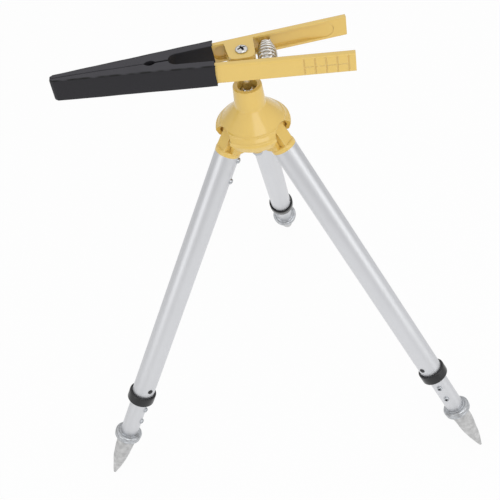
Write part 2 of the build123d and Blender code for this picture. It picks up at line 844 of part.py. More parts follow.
def coil_direction(turn):
    """Unit direction of the wire after a number of turns, from two close points."""
    step = 1e-4
    return (coil_point(turn + step) - coil_point(turn - step)).normalized()


def biarc(start, start_direction, finish, finish_direction):
    """Two arcs that leave and arrive in given directions and join smoothly between."""
    span = finish - start
    both = start_direction + finish_direction
    bend = 2 * (1 - start_direction.dot(finish_direction))
    pull = span.dot(both)
    reach = (sqrt(pull**2 + bend * span.dot(span)) - pull) / bend
    joint = (start + finish + (start_direction - finish_direction) * reach) / 2
    across = (finish - finish_direction * reach - start - start_direction * reach).normalized()
    TangentArc(start, joint, tangent=start_direction)
    TangentArc(joint, finish, tangent=across)


half_turns = [index / 2 for index in range(2 * spring_turns + 1)]
near_end = coil_point(0)
far_end = coil_point(spring_turns)
far_web = arm_pivot_plane.z_dir
near_web = Vector(far_web.X, -far_web.Y, 0)
near_bend = near_end - coil_direction(0) * spring_end_bend + near_web * spring_end_bend
far_bend = far_end + coil_direction(spring_turns) * spring_end_bend + far_web * spring_end_bend
near_tip = near_bend + near_web * (web_face - near_bend.dot(near_web))
far_tip = far_bend + far_web * (web_face - far_bend.dot(far_web))

with BuildPart() as clamp_spring:
    with BuildLine() as wire_path:
        Line(near_tip, near_bend)
        biarc(near_bend, near_web * -1, near_end, coil_direction(0))
        for before, after in zip(half_turns, half_turns[1:]):
            biarc(coil_point(before), coil_direction(before), coil_point(after), coil_direction(after))
        biarc(far_end, coil_direction(spring_turns), far_bend, far_web)
        Line(far_bend, far_tip)
    with BuildSketch(Plane(origin=near_tip, z_dir=near_web * -1)):
        Circle(wire_radius)
    sweep(path=wire_path.line)
save(clamp_spring.part, "clamp_spring")

samples = [coil_point(index / 48) for index in range(48 * spring_turns + 1)]
least_gap = min(
    (first - second).length - wire_diameter
    for index, first in enumerate(samples)
    for second in samples[index + 24 :]
)
print(f"spring: least gap to itself {least_gap:.2f} mm, volume {clamp_spring.part.volume:.0f} mm3,")
wire_length = sum(edge.length for edge in wire_path.line.edges())
print(f"section times length {pi * wire_radius**2 * wire_length:.0f} mm3")
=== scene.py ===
"""Clamp tripod for ranging rods and prism poles: its surfaces, finishes and studio stage.

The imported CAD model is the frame. The arms, leg plugs, ball joint and hidden pieces keep their CAD nodes.
The head, tubes, collars, feet, screws, spring and jaw rubbers are worked out here as numpy surfaces in metres
and stand for their nodes. The ramps in the arms' pockets are added to the arms.
"""

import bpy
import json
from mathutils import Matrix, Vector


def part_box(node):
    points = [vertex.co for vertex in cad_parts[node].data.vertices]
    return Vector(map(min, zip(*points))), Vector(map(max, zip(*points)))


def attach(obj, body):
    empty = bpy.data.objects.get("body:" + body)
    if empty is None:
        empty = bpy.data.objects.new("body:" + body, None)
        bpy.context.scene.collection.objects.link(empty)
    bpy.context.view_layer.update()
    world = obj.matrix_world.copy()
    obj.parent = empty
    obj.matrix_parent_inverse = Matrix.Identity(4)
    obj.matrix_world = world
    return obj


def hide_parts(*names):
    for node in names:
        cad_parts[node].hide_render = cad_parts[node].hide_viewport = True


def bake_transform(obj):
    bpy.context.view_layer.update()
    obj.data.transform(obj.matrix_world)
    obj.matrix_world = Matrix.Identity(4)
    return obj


bl_info = {
    "name": "Clamp Tripod",
    "version": (1, 0, 0),
    "blender": (4, 5, 0),
    "location": "View3D > Sidebar > Tripod",
    "description": "Builds the pieces, finishes and stage of a small clamp tripod",
    "category": "Object",
}

import json
from math import cos, pi, radians, sin

import bpy
import numpy as np
from bpy.props import FloatProperty, FloatVectorProperty, IntProperty, PointerProperty
from mathutils import Matrix, Vector

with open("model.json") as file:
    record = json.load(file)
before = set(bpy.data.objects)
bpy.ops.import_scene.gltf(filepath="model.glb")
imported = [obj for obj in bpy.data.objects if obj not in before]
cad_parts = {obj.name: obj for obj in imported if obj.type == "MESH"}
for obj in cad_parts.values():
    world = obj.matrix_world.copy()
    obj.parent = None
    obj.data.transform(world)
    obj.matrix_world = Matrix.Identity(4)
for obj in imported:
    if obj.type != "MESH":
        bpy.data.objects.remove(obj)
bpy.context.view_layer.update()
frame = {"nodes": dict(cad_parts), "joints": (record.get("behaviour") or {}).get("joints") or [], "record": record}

MM = 0.001
UP = np.array([0.0, 0.0, 1.0])
LEGS = ("back", "left", "right")
# Jaws and handles lie on both sides of the clamp's middle plane: the far ones at +Y, the near ones mirrored
CLAMP_SIDES = ((1, "far"), (-1, "near"))
# A CAD point this near to a flat end lies on it
ON_END = 0.05 * MM


# Measures of the frame


def joint(name):
    """One joint of the frame by its name."""
    return next(entry for entry in frame["joints"] if entry["name"] == name)


def unit(vectors):
    """Vectors divided by their lengths."""
    vectors = np.asarray(vectors, float)
    return vectors / np.linalg.norm(vectors, axis=-1, keepdims=True)


def cad_points(node):
    """Corners of a CAD node's triangles, as rows of x, y and z."""
    mesh = frame["nodes"][node].data
    flat = np.empty(3 * len(mesh.vertices), np.float32)
    mesh.vertices.foreach_get("co", flat)
    return flat.reshape(-1, 3).astype(float)


def leg_frame(leg):
    """Place of a leg's hinge pin, and directions along the pin, across both and down the leg."""
    fold = joint(f"{leg}_leg_fold")
    pin = unit(fold["axis"])
    down = unit(joint(f"{leg}_leg_extend")["axis"])
    return np.array(fold["pos_m"], float), pin, np.cross(down, pin), down


def along_leg(leg, node):
    """Distance down the leg, radius, and offset from the leg's axis, of each point of a CAD node."""
    origin, _, _, down = leg_frame(leg)
    offset = cad_points(f"{leg}_{node}") - origin
    distance = offset @ down
    across = offset - distance[:, None] * down
    return distance, np.linalg.norm(across, axis=1), across


def leg_span(node):
    """First and last distance down the leg, and least and greatest radius, of the left leg's node."""
    distance, radius, _ = along_leg("left", node)
    return distance.min(), distance.max(), radius.min(), radius.max()


# How the guide bush and the foot are told apart into their parts
NEAR_SKIN = 0.4 * MM
COLLAR_CHAMFER = 1.2 * MM
CLEAR_OF_COLLAR = 2 * MM
FLANGE_DEPTH = 3.3 * MM

tube_top, tube_end, tube_bore, tube_skin = leg_span("outer_tube")
lower_top, lower_end, lower_bore, lower_skin = leg_span("inner_tube")
bush_top, collar_end, guide_bore, collar_skin = leg_span("guide_bush")
bush_distance, bush_radius, _ = along_leg("left", "guide_bush")
collar_top = bush_distance[bush_radius > collar_skin - NEAR_SKIN].min() - COLLAR_CHAMFER
on_nub = (bush_distance < collar_top - CLEAR_OF_COLLAR) & (bush_radius > tube_skin + NEAR_SKIN)
nub_first, nub_last = bush_distance[on_nub].min(), bush_distance[on_nub].max()
nub_place, nub_skin = (nub_first + nub_last) / 2, (nub_last - nub_first) / 2
foot_distance, foot_radius, _ = along_leg("left", "foot_spike")
spigot_top, foot_top, foot_tip = foot_distance.min(), lower_end, foot_distance.max()
flange_skin = foot_radius.max()
flange_end = foot_distance[foot_radius > flange_skin - FLANGE_DEPTH].max()
pin_height = joint("left_leg_fold")["pos_m"][2]
ball_height = joint("ball_tilt")["pos_m"][2]
head_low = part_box("head_casting")[0][2]
spring_low, spring_high = np.array(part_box("clamp_spring"))
sleeve_low, sleeve_high = np.array(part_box("far_sleeve"))
pivot_low, pivot_high = np.array(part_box("pivot_screw"))


# Sizes and colours that a user would change


def linear(code):
    """Linear red, green, blue and alpha of an sRGB hex colour, by the sRGB curve in its two parts."""
    shade = np.array([int(code[i : i + 2], 16) for i in (1, 3, 5)]) / 255
    curve = np.where(shade <= 0.04045, shade / 12.92, ((shade + 0.055) / 1.055) ** 2.4)
    return (*(float(part) for part in curve), 1.0)


def length(name, description, size):
    """A size that is given in millimetres and kept in metres."""
    return FloatProperty(name=name, description=description, default=size * MM, precision=5, unit="LENGTH")


def tint(name, description, code):
    """A colour given as sRGB hex."""
    default = linear(code)
    return FloatVectorProperty(name=name, description=description, default=default, size=4, subtype="COLOR")


class LegSizes(bpy.types.PropertyGroup):
    tube_round: length("Tube edge", "Rounding of the cut ends of the tubes", 0.35)
    collar_round: length("Collar edge", "Rounding of the collar's outer edges", 1.1)
    nub_crown: length("Nub crown", "Height of the snap nubs' domes above the tube", 0.95)
    dish: length("Flange dish", "Depth of the dish round the tube in the foot's flange", 0.5)
    spike_base: length("Spike base", "Radius of the spike under the flange", 9.0)
    spike_point: length("Spike point", "Radius of the spike's blunt point", 1.5)
    spike_bulge: length("Spike bulge", "How far the ogive stands out from a straight cone", 2.2)
    cast_wave: length("Cast wave", "Unevenness of the cast spike", 0.14)
    screw_head: length("Screw head", "Radius of the leg screws' pan heads", 2.75)
    screw_crown: length("Screw crown", "Height of the leg screws' pan heads", 1.9)
    screw_shank: length("Screw shank", "Radius of the leg screws", 1.45)


class HeadSizes(bpy.types.PropertyGroup):
    neck_rise: length("Neck rise", "Height of the neck's rim above the hinge pins", 41.6)
    neck_rim: length("Neck rim", "Radius of the neck at its rim", 12.2)
    neck_foot: length("Neck foot", "Radius of the neck where it meets the cone", 13.3)
    cone_rise: length("Cone rise", "Height of the cone above the shoulder", 22.2)
    mouth: length("Mouth", "Radius of the mouth round the ball's stem", 7.2)
    shoulder: length("Shoulder", "Radius of the shoulder, level with the hinge pins", 33.0)
    shoulder_round: length("Shoulder round", "Softness of the shoulder's knee", 0.7)
    skirt: length("Skirt", "Radius of the skirt's lower edge", 30.0)
    skirt_drop: length("Skirt drop", "Depth of the skirt's lower edge below the hinge pins", 8.0)
    wall: length("Head wall", "Thickness of the cast bell", 3.2)
    lip: length("Skirt lip", "Depth of the rounded lower edge", 1.3)
    bead: length("Bead", "Height of the two beads round the cone", 0.75)
    arch_half: length("Arch", "Half the width of a leg's arch at the hinge pins", 11.5)
    arch_rise: length("Arch rise", "Height of a leg's arch above the hinge pins", 7.2)
    arch_flare: length("Arch flare", "How much wider the arch is at the skirt's edge, on each side", 1.0)
    boss: length("Boss", "Radius of the boss round the tension screw", 6.2)
    screw_bore: length("Screw bore", "Radius of the tension screw's bore", 2.52)
    socket: length("Socket", "Radius of the ball's socket", 8.05)
    socket_floor: length("Socket floor", "Depth of the socket's floor below the ball's centre", 10.7)
    ceiling: length("Ceiling", "Height of the hollow's ceiling above the hinge pins", 17.0)
    cheek_gap: length("Cheek gap", "Half the width of the slot between two cheeks", 6.3)
    cheek: length("Cheek", "Thickness of a cheek beside a leg's tongue", 5.0)
    cheek_stop: length("Cheek stop", "How far the cheeks reach down a leg from its pin", 16.7)
    web: length("Web", "Width of the web behind each side of an arch", 8.7)


class ClampSizes(bpy.types.PropertyGroup):
    wire: length("Wire", "Radius of the spring's wire", 0.92)
    coil_middle: length("Coil middle", "Radius of the wire's centre in the middle coils", 7.2)
    coil_end: length("Coil end", "Radius of the wire's centre in the end coils", 4.2)
    coil_turns: IntProperty(name="Turns", description="Turns of the spring", default=8)
    lead_in: length("Lead-in", "Length of the spring's ends past its coils, at the arms", 3.2)
    pivot_crown: length("Pivot crown", "Height of the pivot screw's head", 1.9)
    pivot_shank: length("Pivot shank", "Radius of the pivot screw", 2.0)
    arm_depth: length("Arm depth", "Thickness of the arms", 5.0)
    pocket_margin: length("Pocket margin", "Distance of an arm's pocket from the handle's end", 11.0)
    pocket_half: length("Pocket half", "Half the height of an arm's pocket", 6.9)
    pocket_depth: length("Pocket depth", "Depth of an arm's pocket", 3.0)
    ramp: length("Ramp", "Length of the ramp at the pocket's end", 30.0)
    ramp_lip: length("Ramp lip", "Depth that is left at the end of the ramp", 0.3)
    rubber_wall: length("Rubber wall", "Thickness of the jaw rubbers", 1.3)
    rubber_round: length("Rubber edge", "Rounding of the jaw rubbers' long edges", 0.8)
    tip_length: length("Tip length", "Extra thickness of the rubber's closed tip", 2.4)
    tip_chamfer: length("Tip chamfer", "Slant at the outer corner of the jaws' tips", 2.6)
    notch_place: length("Small notch", "Distance of the small notch from the pivot", 74.0)
    notch_half: length("Notch half length", "Half the length of the small notch", 5.0)
    notch_depth: length("Notch depth", "Depth of the small notch in each jaw", 3.0)
    slit_half: length("Slit", "Half the width of the slit between the notches", 0.7)
    wide_end: length("Wide notch end", "Distance of the wide notch's closed end from the pivot", 59.0)
    wide_round: length("Wide notch round", "Rounding in the corners of the wide notch", 6.0)


class FinishColours(bpy.types.PropertyGroup):
    enamel: tint("Enamel", "Yellow of the painted castings", "#E6C367")
    # Painted highlight: the paler yellow that the enamel takes on its rounded edges
    enamel_highlight: tint("Thin enamel", "Enamel where it thins out over an edge", "#EED184")
    tube: tint("Tube", "Satin anodised aluminium", "#D9DADD")
    rubber: tint("Rubber", "Black of the jaw rubbers", "#232226")
    # Painted top light: the lighter grey of the rubbers' upward faces
    rubber_bloom: tint("Rubber bloom", "Grey bloom on the jaw rubbers", "#434247")
    # Painted shade: the near black of the line along the rubbers' top outer edge
    rubber_seam: tint("Rubber seam", "Dark of the jaw rubbers' mould seam", "#0A0A0A")
    plastic: tint("Plastic", "Black of the collars", "#161618")
    nylon: tint("Nylon", "Natural nylon of the ball cup and locks", "#E4DECB")
    nickel: tint("Nickel", "Nickel plating on the spring, stud and pivot screw", "#DAD8D4")
    zinc_plate: tint("Zinc plate", "Zinc plating on the leg screws, pins and hidden steel", "#C3C6CA")
    # Painted shade: the dark of the screws' cross recesses
    recess_shade: tint("Grime", "Dark of the grime in the screws' recesses", "#272727")
    cast_light: tint("Cast light", "Light patches of the cast feet", "#D6D6D6")
    cast_dark: tint("Cast dark", "Dark patches of the cast feet", "#B4B4B4")


class StageSettings(bpy.types.PropertyGroup):
    floor: tint("Floor", "Pale studio floor", "#F4F4F4")
    sky: FloatProperty(name="Sky", description="Strength of the white surround on the object", default=0.78)
    key: FloatProperty(name="Key", description="Power of the main lamp", default=5.4, unit="POWER")
    fill: FloatProperty(name="Fill", description="Power of each strip lamp", default=2.0, unit="POWER")


# Surfaces

# Points on a rounded corner, and columns round a turned piece and round a screw
ARC_POINTS, ROUND, SCREW_ROUND = 7, 128, 96
# Points nearer than this are one, and faces that meet at more than this many degrees keep a sharp edge
SAME_POINT, CREASE = 1e-8, 38
# A screw's cross recess: half its width and its reach, each with a soft edge, in shares of the head's radius,
# and its depth in shares of the crown
SLOT_HALF, SLOT_SOFT, SLOT_REACH, REACH_SOFT, SLOT_DEPTH = 0.19, 0.07, 0.68, 0.14, 0.8


def rounded(corners):
    """Closed outline from rows of x, y and radius, whose corners are arcs.

    An arc starts radius times tan(half the turn) before its corner. Its points swing about a centre one
    radius to the inside: the arm from there times cos(angle), plus the incoming direction times sin(angle).
    """
    corners, radii = np.split(np.asarray(corners, float), [2], 1)
    before = unit(corners - np.roll(corners, 1, 0))
    after = unit(np.roll(corners, -1, 0) - corners)
    turn = np.arccos(np.clip((before * after).sum(1), -1, 1))[:, None]
    side = np.sign(before[:, :1] * after[:, 1:] - before[:, 1:] * after[:, :1])
    inward = side * np.stack([-before[:, 1], before[:, 0]], 1)
    centre = corners - before * radii * np.tan(turn / 2) + inward * radii
    angle = turn * np.linspace(0, 1, ARC_POINTS)
    arm = -inward[:, None] * np.cos(angle)[..., None] + before[:, None] * np.sin(angle)[..., None]
    outline = (centre[:, None] + radii[..., None] * arm).reshape(-1, 2)
    return outline[np.linalg.norm(outline - np.roll(outline, 1, 0), axis=1) > SAME_POINT]


def plain(points):
    """Rows of x, y and a radius of nothing, for points of an outline that get no arc."""
    return np.insert(points, 2, 0, axis=1)


def circle(columns):
    """Angles of evenly spaced columns, once round."""
    return np.linspace(0, 2 * pi, columns, endpoint=False)


def turned(place, radius, distance, columns=ROUND):
    """Grid of a turned shape: origin, plus distance down the axis, plus radius round it by cos and sin."""
    origin, first, second, axis = place
    angle = circle(columns)
    round_axis = np.cos(angle)[:, None] * first + np.sin(angle)[:, None] * second
    radius = np.broadcast_to(radius.reshape(len(radius), -1), (len(radius), columns))
    return origin + distance[:, None, None] * axis + radius[..., None] * round_axis


def steps_between(points):
    """Running length along a row of points."""
    return np.concatenate([[0], np.cumsum(np.linalg.norm(np.diff(points, axis=0), axis=1))])


class Shells:
    """Closed shells gathered into one mesh, with a UV map in metres and a mark from 0 to 1 on each point."""

    def __init__(self):
        self.points, self.faces, self.maps, self.marks, self.count = [], [], [], [], 0

    def add(self, grid, loop=False, poles=None, mark=0.0):
        """Skin a grid, whose columns close and whose rows close in a loop or run out to two poles.

        A quad joins corner (i, j) to (i, j+1), (i+1, j+1) and (i+1, j). Poles lie in the middle of the end
        rows unless they are given. U is the length down the columns and V the length round the widest row.
        A shell whose signed volume is negative is turned inside out.
        """
        rows, columns = grid.shape[:2]
        ring = np.concatenate([grid, grid[:1]]) if loop else grid
        along = steps_between(ring[:, 0])
        widest = np.linalg.norm(grid - grid.mean(1, keepdims=True), axis=-1).mean(1).argmax()
        around = steps_between(np.concatenate([grid[widest], grid[widest, :1]]))
        i, j = np.meshgrid(np.arange(rows if loop else rows - 1), np.arange(columns), indexing="ij")
        k, n = (i + 1) % rows, (j + 1) % columns
        quads = [i * columns + j, i * columns + n, k * columns + n, k * columns + j]
        u = along[np.stack([i, i, i + 1, i + 1], -1)]
        v = around[np.stack([j, j + 1, j + 1, j], -1)]
        faces = [np.stack(quads, -1).reshape(-1, 4)]
        maps = [np.stack([u, v], -1).reshape(-1, 4, 2)]
        points = grid.reshape(-1, 3)
        if not loop:
            poles = grid[[0, -1]].mean(1) if poles is None else np.asarray(poles, float)
            j = np.arange(columns)
            n = (j + 1) % columns
            for pole, row, turn in ((0, 0, 1), (1, rows - 1, -1)):
                tip = np.full(columns, rows * columns + pole)
                fan = np.stack([tip, row * columns + n, row * columns + j], -1)
                reach = np.linalg.norm(grid[row, 0] - poles[pole])
                u = along[row] + np.array([-reach * turn, 0, 0]) * np.ones((columns, 1))
                v = around[np.stack([j, j + 1, j], -1)]
                v[:, 0] = (v[:, 1] + v[:, 2]) / 2
                order = slice(None, None, turn)
                faces.append(fan[:, order])
                maps.append(np.stack([u, v], -1)[:, order])
            points = np.concatenate([points, poles])
        thirds = [part[:, [0, a, a + 1]] for part in faces for a in range(1, part.shape[1] - 1)]
        a, b, c = (points[corner] - points.mean(0) for corner in np.concatenate(thirds).T)
        if (a * np.cross(b, c)).sum() < 0:
            faces = [part[:, ::-1] for part in faces]
            maps = [part[:, ::-1] for part in maps]
        for part in faces:
            self.faces += (part + self.count).tolist()
        self.maps += [part.reshape(-1, 2) for part in maps]
        mark = np.asarray(mark, float)
        marks = np.broadcast_to(mark if mark.ndim == 2 else mark.reshape(-1, 1), (rows, columns)).ravel()
        self.marks.append(np.concatenate([marks, marks[[0, -1]]])[: len(points)])
        self.points.append(points)
        self.count += len(points)
        return self

    def make(self, name, body, slot, *nodes):
        """Make the object. It takes a slot's finish, rides on a body if one is named and stands for nodes."""
        mesh = bpy.data.meshes.new(name)
        mesh.from_pydata(np.concatenate(self.points).tolist(), [], self.faces)
        mesh.uv_layers.new(name="metres").data.foreach_set("uv", np.concatenate(self.maps).ravel())
        mesh.attributes.new("mark", "FLOAT", "POINT").data.foreach_set("value", np.concatenate(self.marks))
        mesh.shade_smooth()
        mesh.set_sharp_from_angle(angle=radians(CREASE))
        mesh.materials.append(finish_for(slot))
        piece = bpy.data.objects.new(name, mesh)
        bpy.context.scene.collection.objects.link(piece)
        if body:
            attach(piece, body)
        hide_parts(*nodes)
        return piece


def pan_screw(shells, seat, outward, across, head, crown, shank, depth, sink):
    """Pan-head screw with a cross recess.

    The crown's height over the seat is crown times (1 - (r / head) ** 3.4) ** 0.55. The recess is the set of
    points whose lesser side offset is within the slot and whose greater one is within its length, with soft
    edges.
    """
    place = (seat, across, np.cross(outward, across), outward)
    # Rows crowd at the head's round edge
    share = np.concatenate([np.linspace(0.03, 0.8, 22), np.linspace(0.83, 1, 9)])
    angle = circle(SCREW_ROUND)
    x = np.abs(share[:, None] * np.cos(angle))
    y = np.abs(share[:, None] * np.sin(angle))
    slot = np.clip((SLOT_HALF - np.minimum(x, y)) / SLOT_SOFT, 0, 1)
    slot = slot * np.clip((SLOT_REACH - np.maximum(x, y)) / REACH_SOFT, 0, 1)
    top = crown * (1 - share[:, None] ** 3.4) ** 0.55 - SLOT_DEPTH * crown * slot
    below = np.repeat([[-sink], [-sink], [-depth]], SCREW_ROUND, 1)
    radius = np.concatenate([share * head, [head, shank, shank]])
    flat = turned(place, radius, np.zeros(len(radius)), SCREW_ROUND)
    grid = flat + np.concatenate([top, below])[..., None] * outward
    poles = (seat + outward * crown * (1 - SLOT_DEPTH), seat - outward * depth)
    # The recess is the mark, which the finish paints dark as shade
    shells.add(grid, poles=poles, mark=np.concatenate([slot, np.zeros_like(below)]))


# Finishes

# A Mix node's sockets for numbers and for colours go by number, because they share their names
NUMBER_A, NUMBER_B, NUMBER_OUT = 2, 3, 0
COLOUR_A, COLOUR_B, COLOUR_OUT = 6, 7, 2
WHITE = linear("#FFFFFF")


def feed(tree, node, inputs):
    """Set or link a node's inputs by name or number."""
    for key, value in inputs.items():
        if isinstance(value, bpy.types.NodeSocket):
            tree.links.new(value, node.inputs[key])
        else:
            node.inputs[key].default_value = value


def add(tree, kind, inputs, output=0, **settings):
    """Add one node with its settings, set or link its inputs, and give one of its outputs."""
    node = tree.nodes.new("ShaderNode" + kind)
    for key, value in settings.items():
        setattr(node, key, value)
    feed(tree, node, inputs)
    return node.outputs[output]


def finish(name):
    """A new material with its node tree, its shader and its object coordinates."""
    material = bpy.data.materials.new(name)
    material.use_nodes = True
    tree = material.node_tree
    return material, tree, tree.nodes["Principled BSDF"], add(tree, "TexCoord", {}, "Object")


def darker(colour, share):
    """A colour with its red, green and blue times share."""
    return (*(share * part for part in colour[:3]), 1)


def stove_enamel(name, colours):
    """Enamel sprayed and stoved on die castings.

    It gives a gloss with faint orange peel, the slow waves of the casting below it, and edges that look
    rounded and carry a painted highlight in a paler yellow. The stoved skin is harder and glossier than the
    body of the paint.
    """
    material, tree, shader, place = finish(name)
    # Waves of about 14 mm; orange peel is really 1 to 2 mm and is drawn at 1.8 mm
    wave = add(tree, "TexNoise", {"Vector": place, "Scale": 1 / (14 * MM), "Detail": 1.0}, "Fac")
    peel = add(tree, "TexNoise", {"Vector": place, "Scale": 1 / (1.8 * MM), "Detail": 2.0}, "Fac")
    edge = add(tree, "Bevel", {"Radius": 0.7 * MM}, samples=6)
    skin = add(tree, "NewGeometry", {}, "Normal")
    turn = add(tree, "VectorMath", {0: edge, 1: skin}, "Value", operation="DOT_PRODUCT")
    # Painted highlight: where the bevel rounds the normal over an edge, the colour turns a paler yellow
    edge_highlight = add(tree, "MapRange", {"Value": turn, "From Min": 0.985, "From Max": 0.86})
    shades = {0: wave, COLOUR_A: darker(colours.enamel, 0.96), COLOUR_B: colours.enamel}
    tone = add(tree, "Mix", shades, COLOUR_OUT, data_type="RGBA")
    painted_light = {0: edge_highlight, COLOUR_A: tone, COLOUR_B: colours.enamel_highlight}
    gloss = add(tree, "MapRange", {"Value": wave, "To Min": 0.18, "To Max": 0.28})
    slow = add(tree, "Bump", {"Height": wave, "Strength": 0.25, "Distance": 1.0 * MM, "Normal": edge})
    fine = add(tree, "Bump", {"Height": peel, "Strength": 0.12, "Distance": 0.15 * MM, "Normal": slow})
    look = {"Base Color": add(tree, "Mix", painted_light, COLOUR_OUT, data_type="RGBA"), "Roughness": gloss}
    coat = {"Coat Normal": slow, "Coat Weight": 0.5, "Coat Roughness": 0.06}
    feed(tree, shader, {**look, "Normal": fine, **coat})
    return material


def anodised_tube(name, colours):
    """Drawn aluminium tube, satin anodised: fine die lines run along it under a clear oxide skin."""
    material, tree, shader, place = finish(name)
    cloud = add(tree, "TexNoise", {"Vector": place, "Scale": 1 / (30 * MM), "Detail": 2.0}, "Fac")
    # Die lines are a few tenths of a millimetre apart and are drawn at 1.3 mm, running 300 mm along the tube
    metres = add(tree, "TexCoord", {}, "UV")
    lines = add(tree, "Mapping", {"Vector": metres, "Scale": (1 / 0.3, 1 / (1.3 * MM), 1)})
    die = add(tree, "TexNoise", {"Vector": lines, "Scale": 1.0, "Detail": 3.0}, "Fac")
    shades = {0: cloud, COLOUR_A: darker(colours.tube, 0.95), COLOUR_B: colours.tube}
    tone = add(tree, "Mix", shades, COLOUR_OUT, data_type="RGBA")
    gloss = add(tree, "MapRange", {"Value": die, "To Min": 0.36, "To Max": 0.46})
    groove = add(tree, "Bump", {"Height": die, "Strength": 0.12, "Distance": 0.12 * MM})
    feed(tree, shader, {"Base Color": tone, "Roughness": gloss, "Normal": groove, "Metallic": 0.85})
    return material


def moulded_rubber(name, colours):
    """Black rubber from a blasted mould: matte and finely grained, with painted top light and a painted shade
    line.
    """
    material, tree, shader, place = finish(name)
    # The mould's grain is about 0.3 mm and is drawn at 0.9 mm; painted top light lies in patches of about 25 mm
    grain = add(tree, "TexNoise", {"Vector": place, "Scale": 1 / (0.9 * MM), "Detail": 3.0}, "Fac")
    top_light = add(tree, "TexNoise", {"Vector": place, "Scale": 1 / (25 * MM), "Detail": 3.0}, "Fac")
    patch = add(tree, "MapRange", {"Value": top_light, "To Min": 0.6, "To Max": 1.0})
    # Painted top light: faces that turn upwards get a lighter grey, in patches
    skin = add(tree, "SeparateXYZ", {0: add(tree, "NewGeometry", {}, "Normal")}, "Z")
    upward = add(tree, "MapRange", {"Value": skin, "From Min": 0.3, "From Max": 0.9})
    top_light_mask = add(tree, "Math", {0: upward, 1: patch}, operation="MULTIPLY")
    shades = {0: top_light_mask, COLOUR_A: colours.rubber, COLOUR_B: colours.rubber_bloom}
    top_lit = add(tree, "Mix", shades, COLOUR_OUT, data_type="RGBA")
    # The mark is a dark line of painted shade along the top outer edge
    edge_shade = add(tree, "Attribute", {}, "Fac", attribute_name="mark")
    shades = {0: edge_shade, COLOUR_A: top_lit, COLOUR_B: colours.rubber_seam}
    tone = add(tree, "Mix", shades, COLOUR_OUT, data_type="RGBA")
    gloss = add(tree, "MapRange", {"Value": grain, "To Min": 0.5, "To Max": 0.68})
    rough = add(tree, "Bump", {"Height": grain, "Strength": 0.3, "Distance": 0.2 * MM})
    look = {"Base Color": tone, "Roughness": gloss, "Normal": rough}
    feed(tree, shader, {**look, "Specular IOR Level": 0.3})
    return material


def moulded_plastic(name, colours, shade, smooth, dull, patch):
    """Moulded plastic: a soft gloss from a polished mould, with faint flow marks as wide as patch."""
    material, tree, shader, place = finish(name)
    colour = getattr(colours, shade)
    flow = add(tree, "TexNoise", {"Vector": place, "Scale": 1 / patch, "Detail": 3.0}, "Fac")
    shades = {0: flow, COLOUR_A: darker(colour, 0.8), COLOUR_B: colour}
    tone = add(tree, "Mix", shades, COLOUR_OUT, data_type="RGBA")
    gloss = add(tree, "MapRange", {"Value": flow, "To Min": smooth, "To Max": dull})
    skin = add(tree, "Bump", {"Height": flow, "Strength": 0.15, "Distance": 0.2 * MM})
    feed(tree, shader, {"Base Color": tone, "Roughness": gloss, "Normal": skin})
    return material


def plated_steel(name, colours, shade, bright, dull, patch):
    """Plated steel: bright metal whose gloss changes from patch to patch, with painted shade in its recesses."""
    material, tree, shader, place = finish(name)
    colour = getattr(colours, shade)
    bath = add(tree, "TexNoise", {"Vector": place, "Scale": 1 / patch, "Detail": 3.0}, "Fac")
    shades = {0: bath, COLOUR_A: darker(colour, 0.85), COLOUR_B: colour}
    tone = add(tree, "Mix", shades, COLOUR_OUT, data_type="RGBA")
    gloss = add(tree, "MapRange", {"Value": bath, "To Min": bright, "To Max": dull})
    # The mark is a screw's cross recess, which is painted dark as shade
    recess = add(tree, "Attribute", {}, "Fac", attribute_name="mark")
    shades = {0: recess, COLOUR_A: tone, COLOUR_B: colours.recess_shade}
    recess_shade = add(tree, "Mix", shades, COLOUR_OUT, data_type="RGBA")
    feed(tree, shader, {"Base Color": recess_shade, "Roughness": gloss, "Metallic": 1.0})
    return material


def cast_zinc(name, colours):
    """Tumbled zinc casting: a mottled grey spike with the mould's grain, and a smoother flange with painted
    glints.
    """
    material, tree, shader, place = finish(name)
    # Cast skin mottles in patches of about 5 mm; its grain is about 0.5 mm and is drawn at 1 mm
    mottle = add(tree, "TexNoise", {"Vector": place, "Scale": 1 / (5 * MM), "Detail": 5.0}, "Fac")
    grain = add(tree, "TexNoise", {"Vector": place, "Scale": 1 / (1 * MM), "Detail": 2.0}, "Fac")
    patch = add(tree, "MapRange", {"Value": mottle, "From Min": 0.3, "From Max": 0.7})
    shades = {0: patch, COLOUR_A: colours.cast_dark, COLOUR_B: colours.cast_light}
    tone = add(tree, "Mix", shades, COLOUR_OUT, data_type="RGBA")
    # Painted glints and dark painted reflections lie in streaks about 3 mm wide on the flange, where the mark is 1
    on_flange = add(tree, "Attribute", {}, "Fac", attribute_name="mark")
    streak = add(tree, "TexNoise", {"Vector": place, "Scale": 1 / (3 * MM), "Detail": 2.0}, "Fac")
    painted_light = add(tree, "MapRange", {"Value": streak, "From Min": 0.2, "From Max": 0.65})
    shades = {0: painted_light, COLOUR_A: darker(colours.cast_dark, 0.7), COLOUR_B: colours.zinc_plate}
    painted_glints = add(tree, "Mix", shades, COLOUR_OUT, data_type="RGBA")
    shades = {0: on_flange, COLOUR_A: tone, COLOUR_B: painted_glints}
    bright = add(tree, "Mix", shades, COLOUR_OUT, data_type="RGBA")
    gloss = add(tree, "MapRange", {"Value": on_flange, "To Min": 0.5, "To Max": 0.3})
    rough = add(tree, "MapRange", {"Value": on_flange, "To Min": 0.3, "To Max": 0.05})
    pits = add(tree, "Bump", {"Height": grain, "Strength": rough, "Distance": 0.25 * MM})
    lumps = add(tree, "Bump", {"Height": mottle, "Strength": 0.2, "Distance": 0.6 * MM, "Normal": pits})
    feed(tree, shader, {"Base Color": bright, "Roughness": gloss, "Normal": lumps, "Metallic": 1.0})
    return material


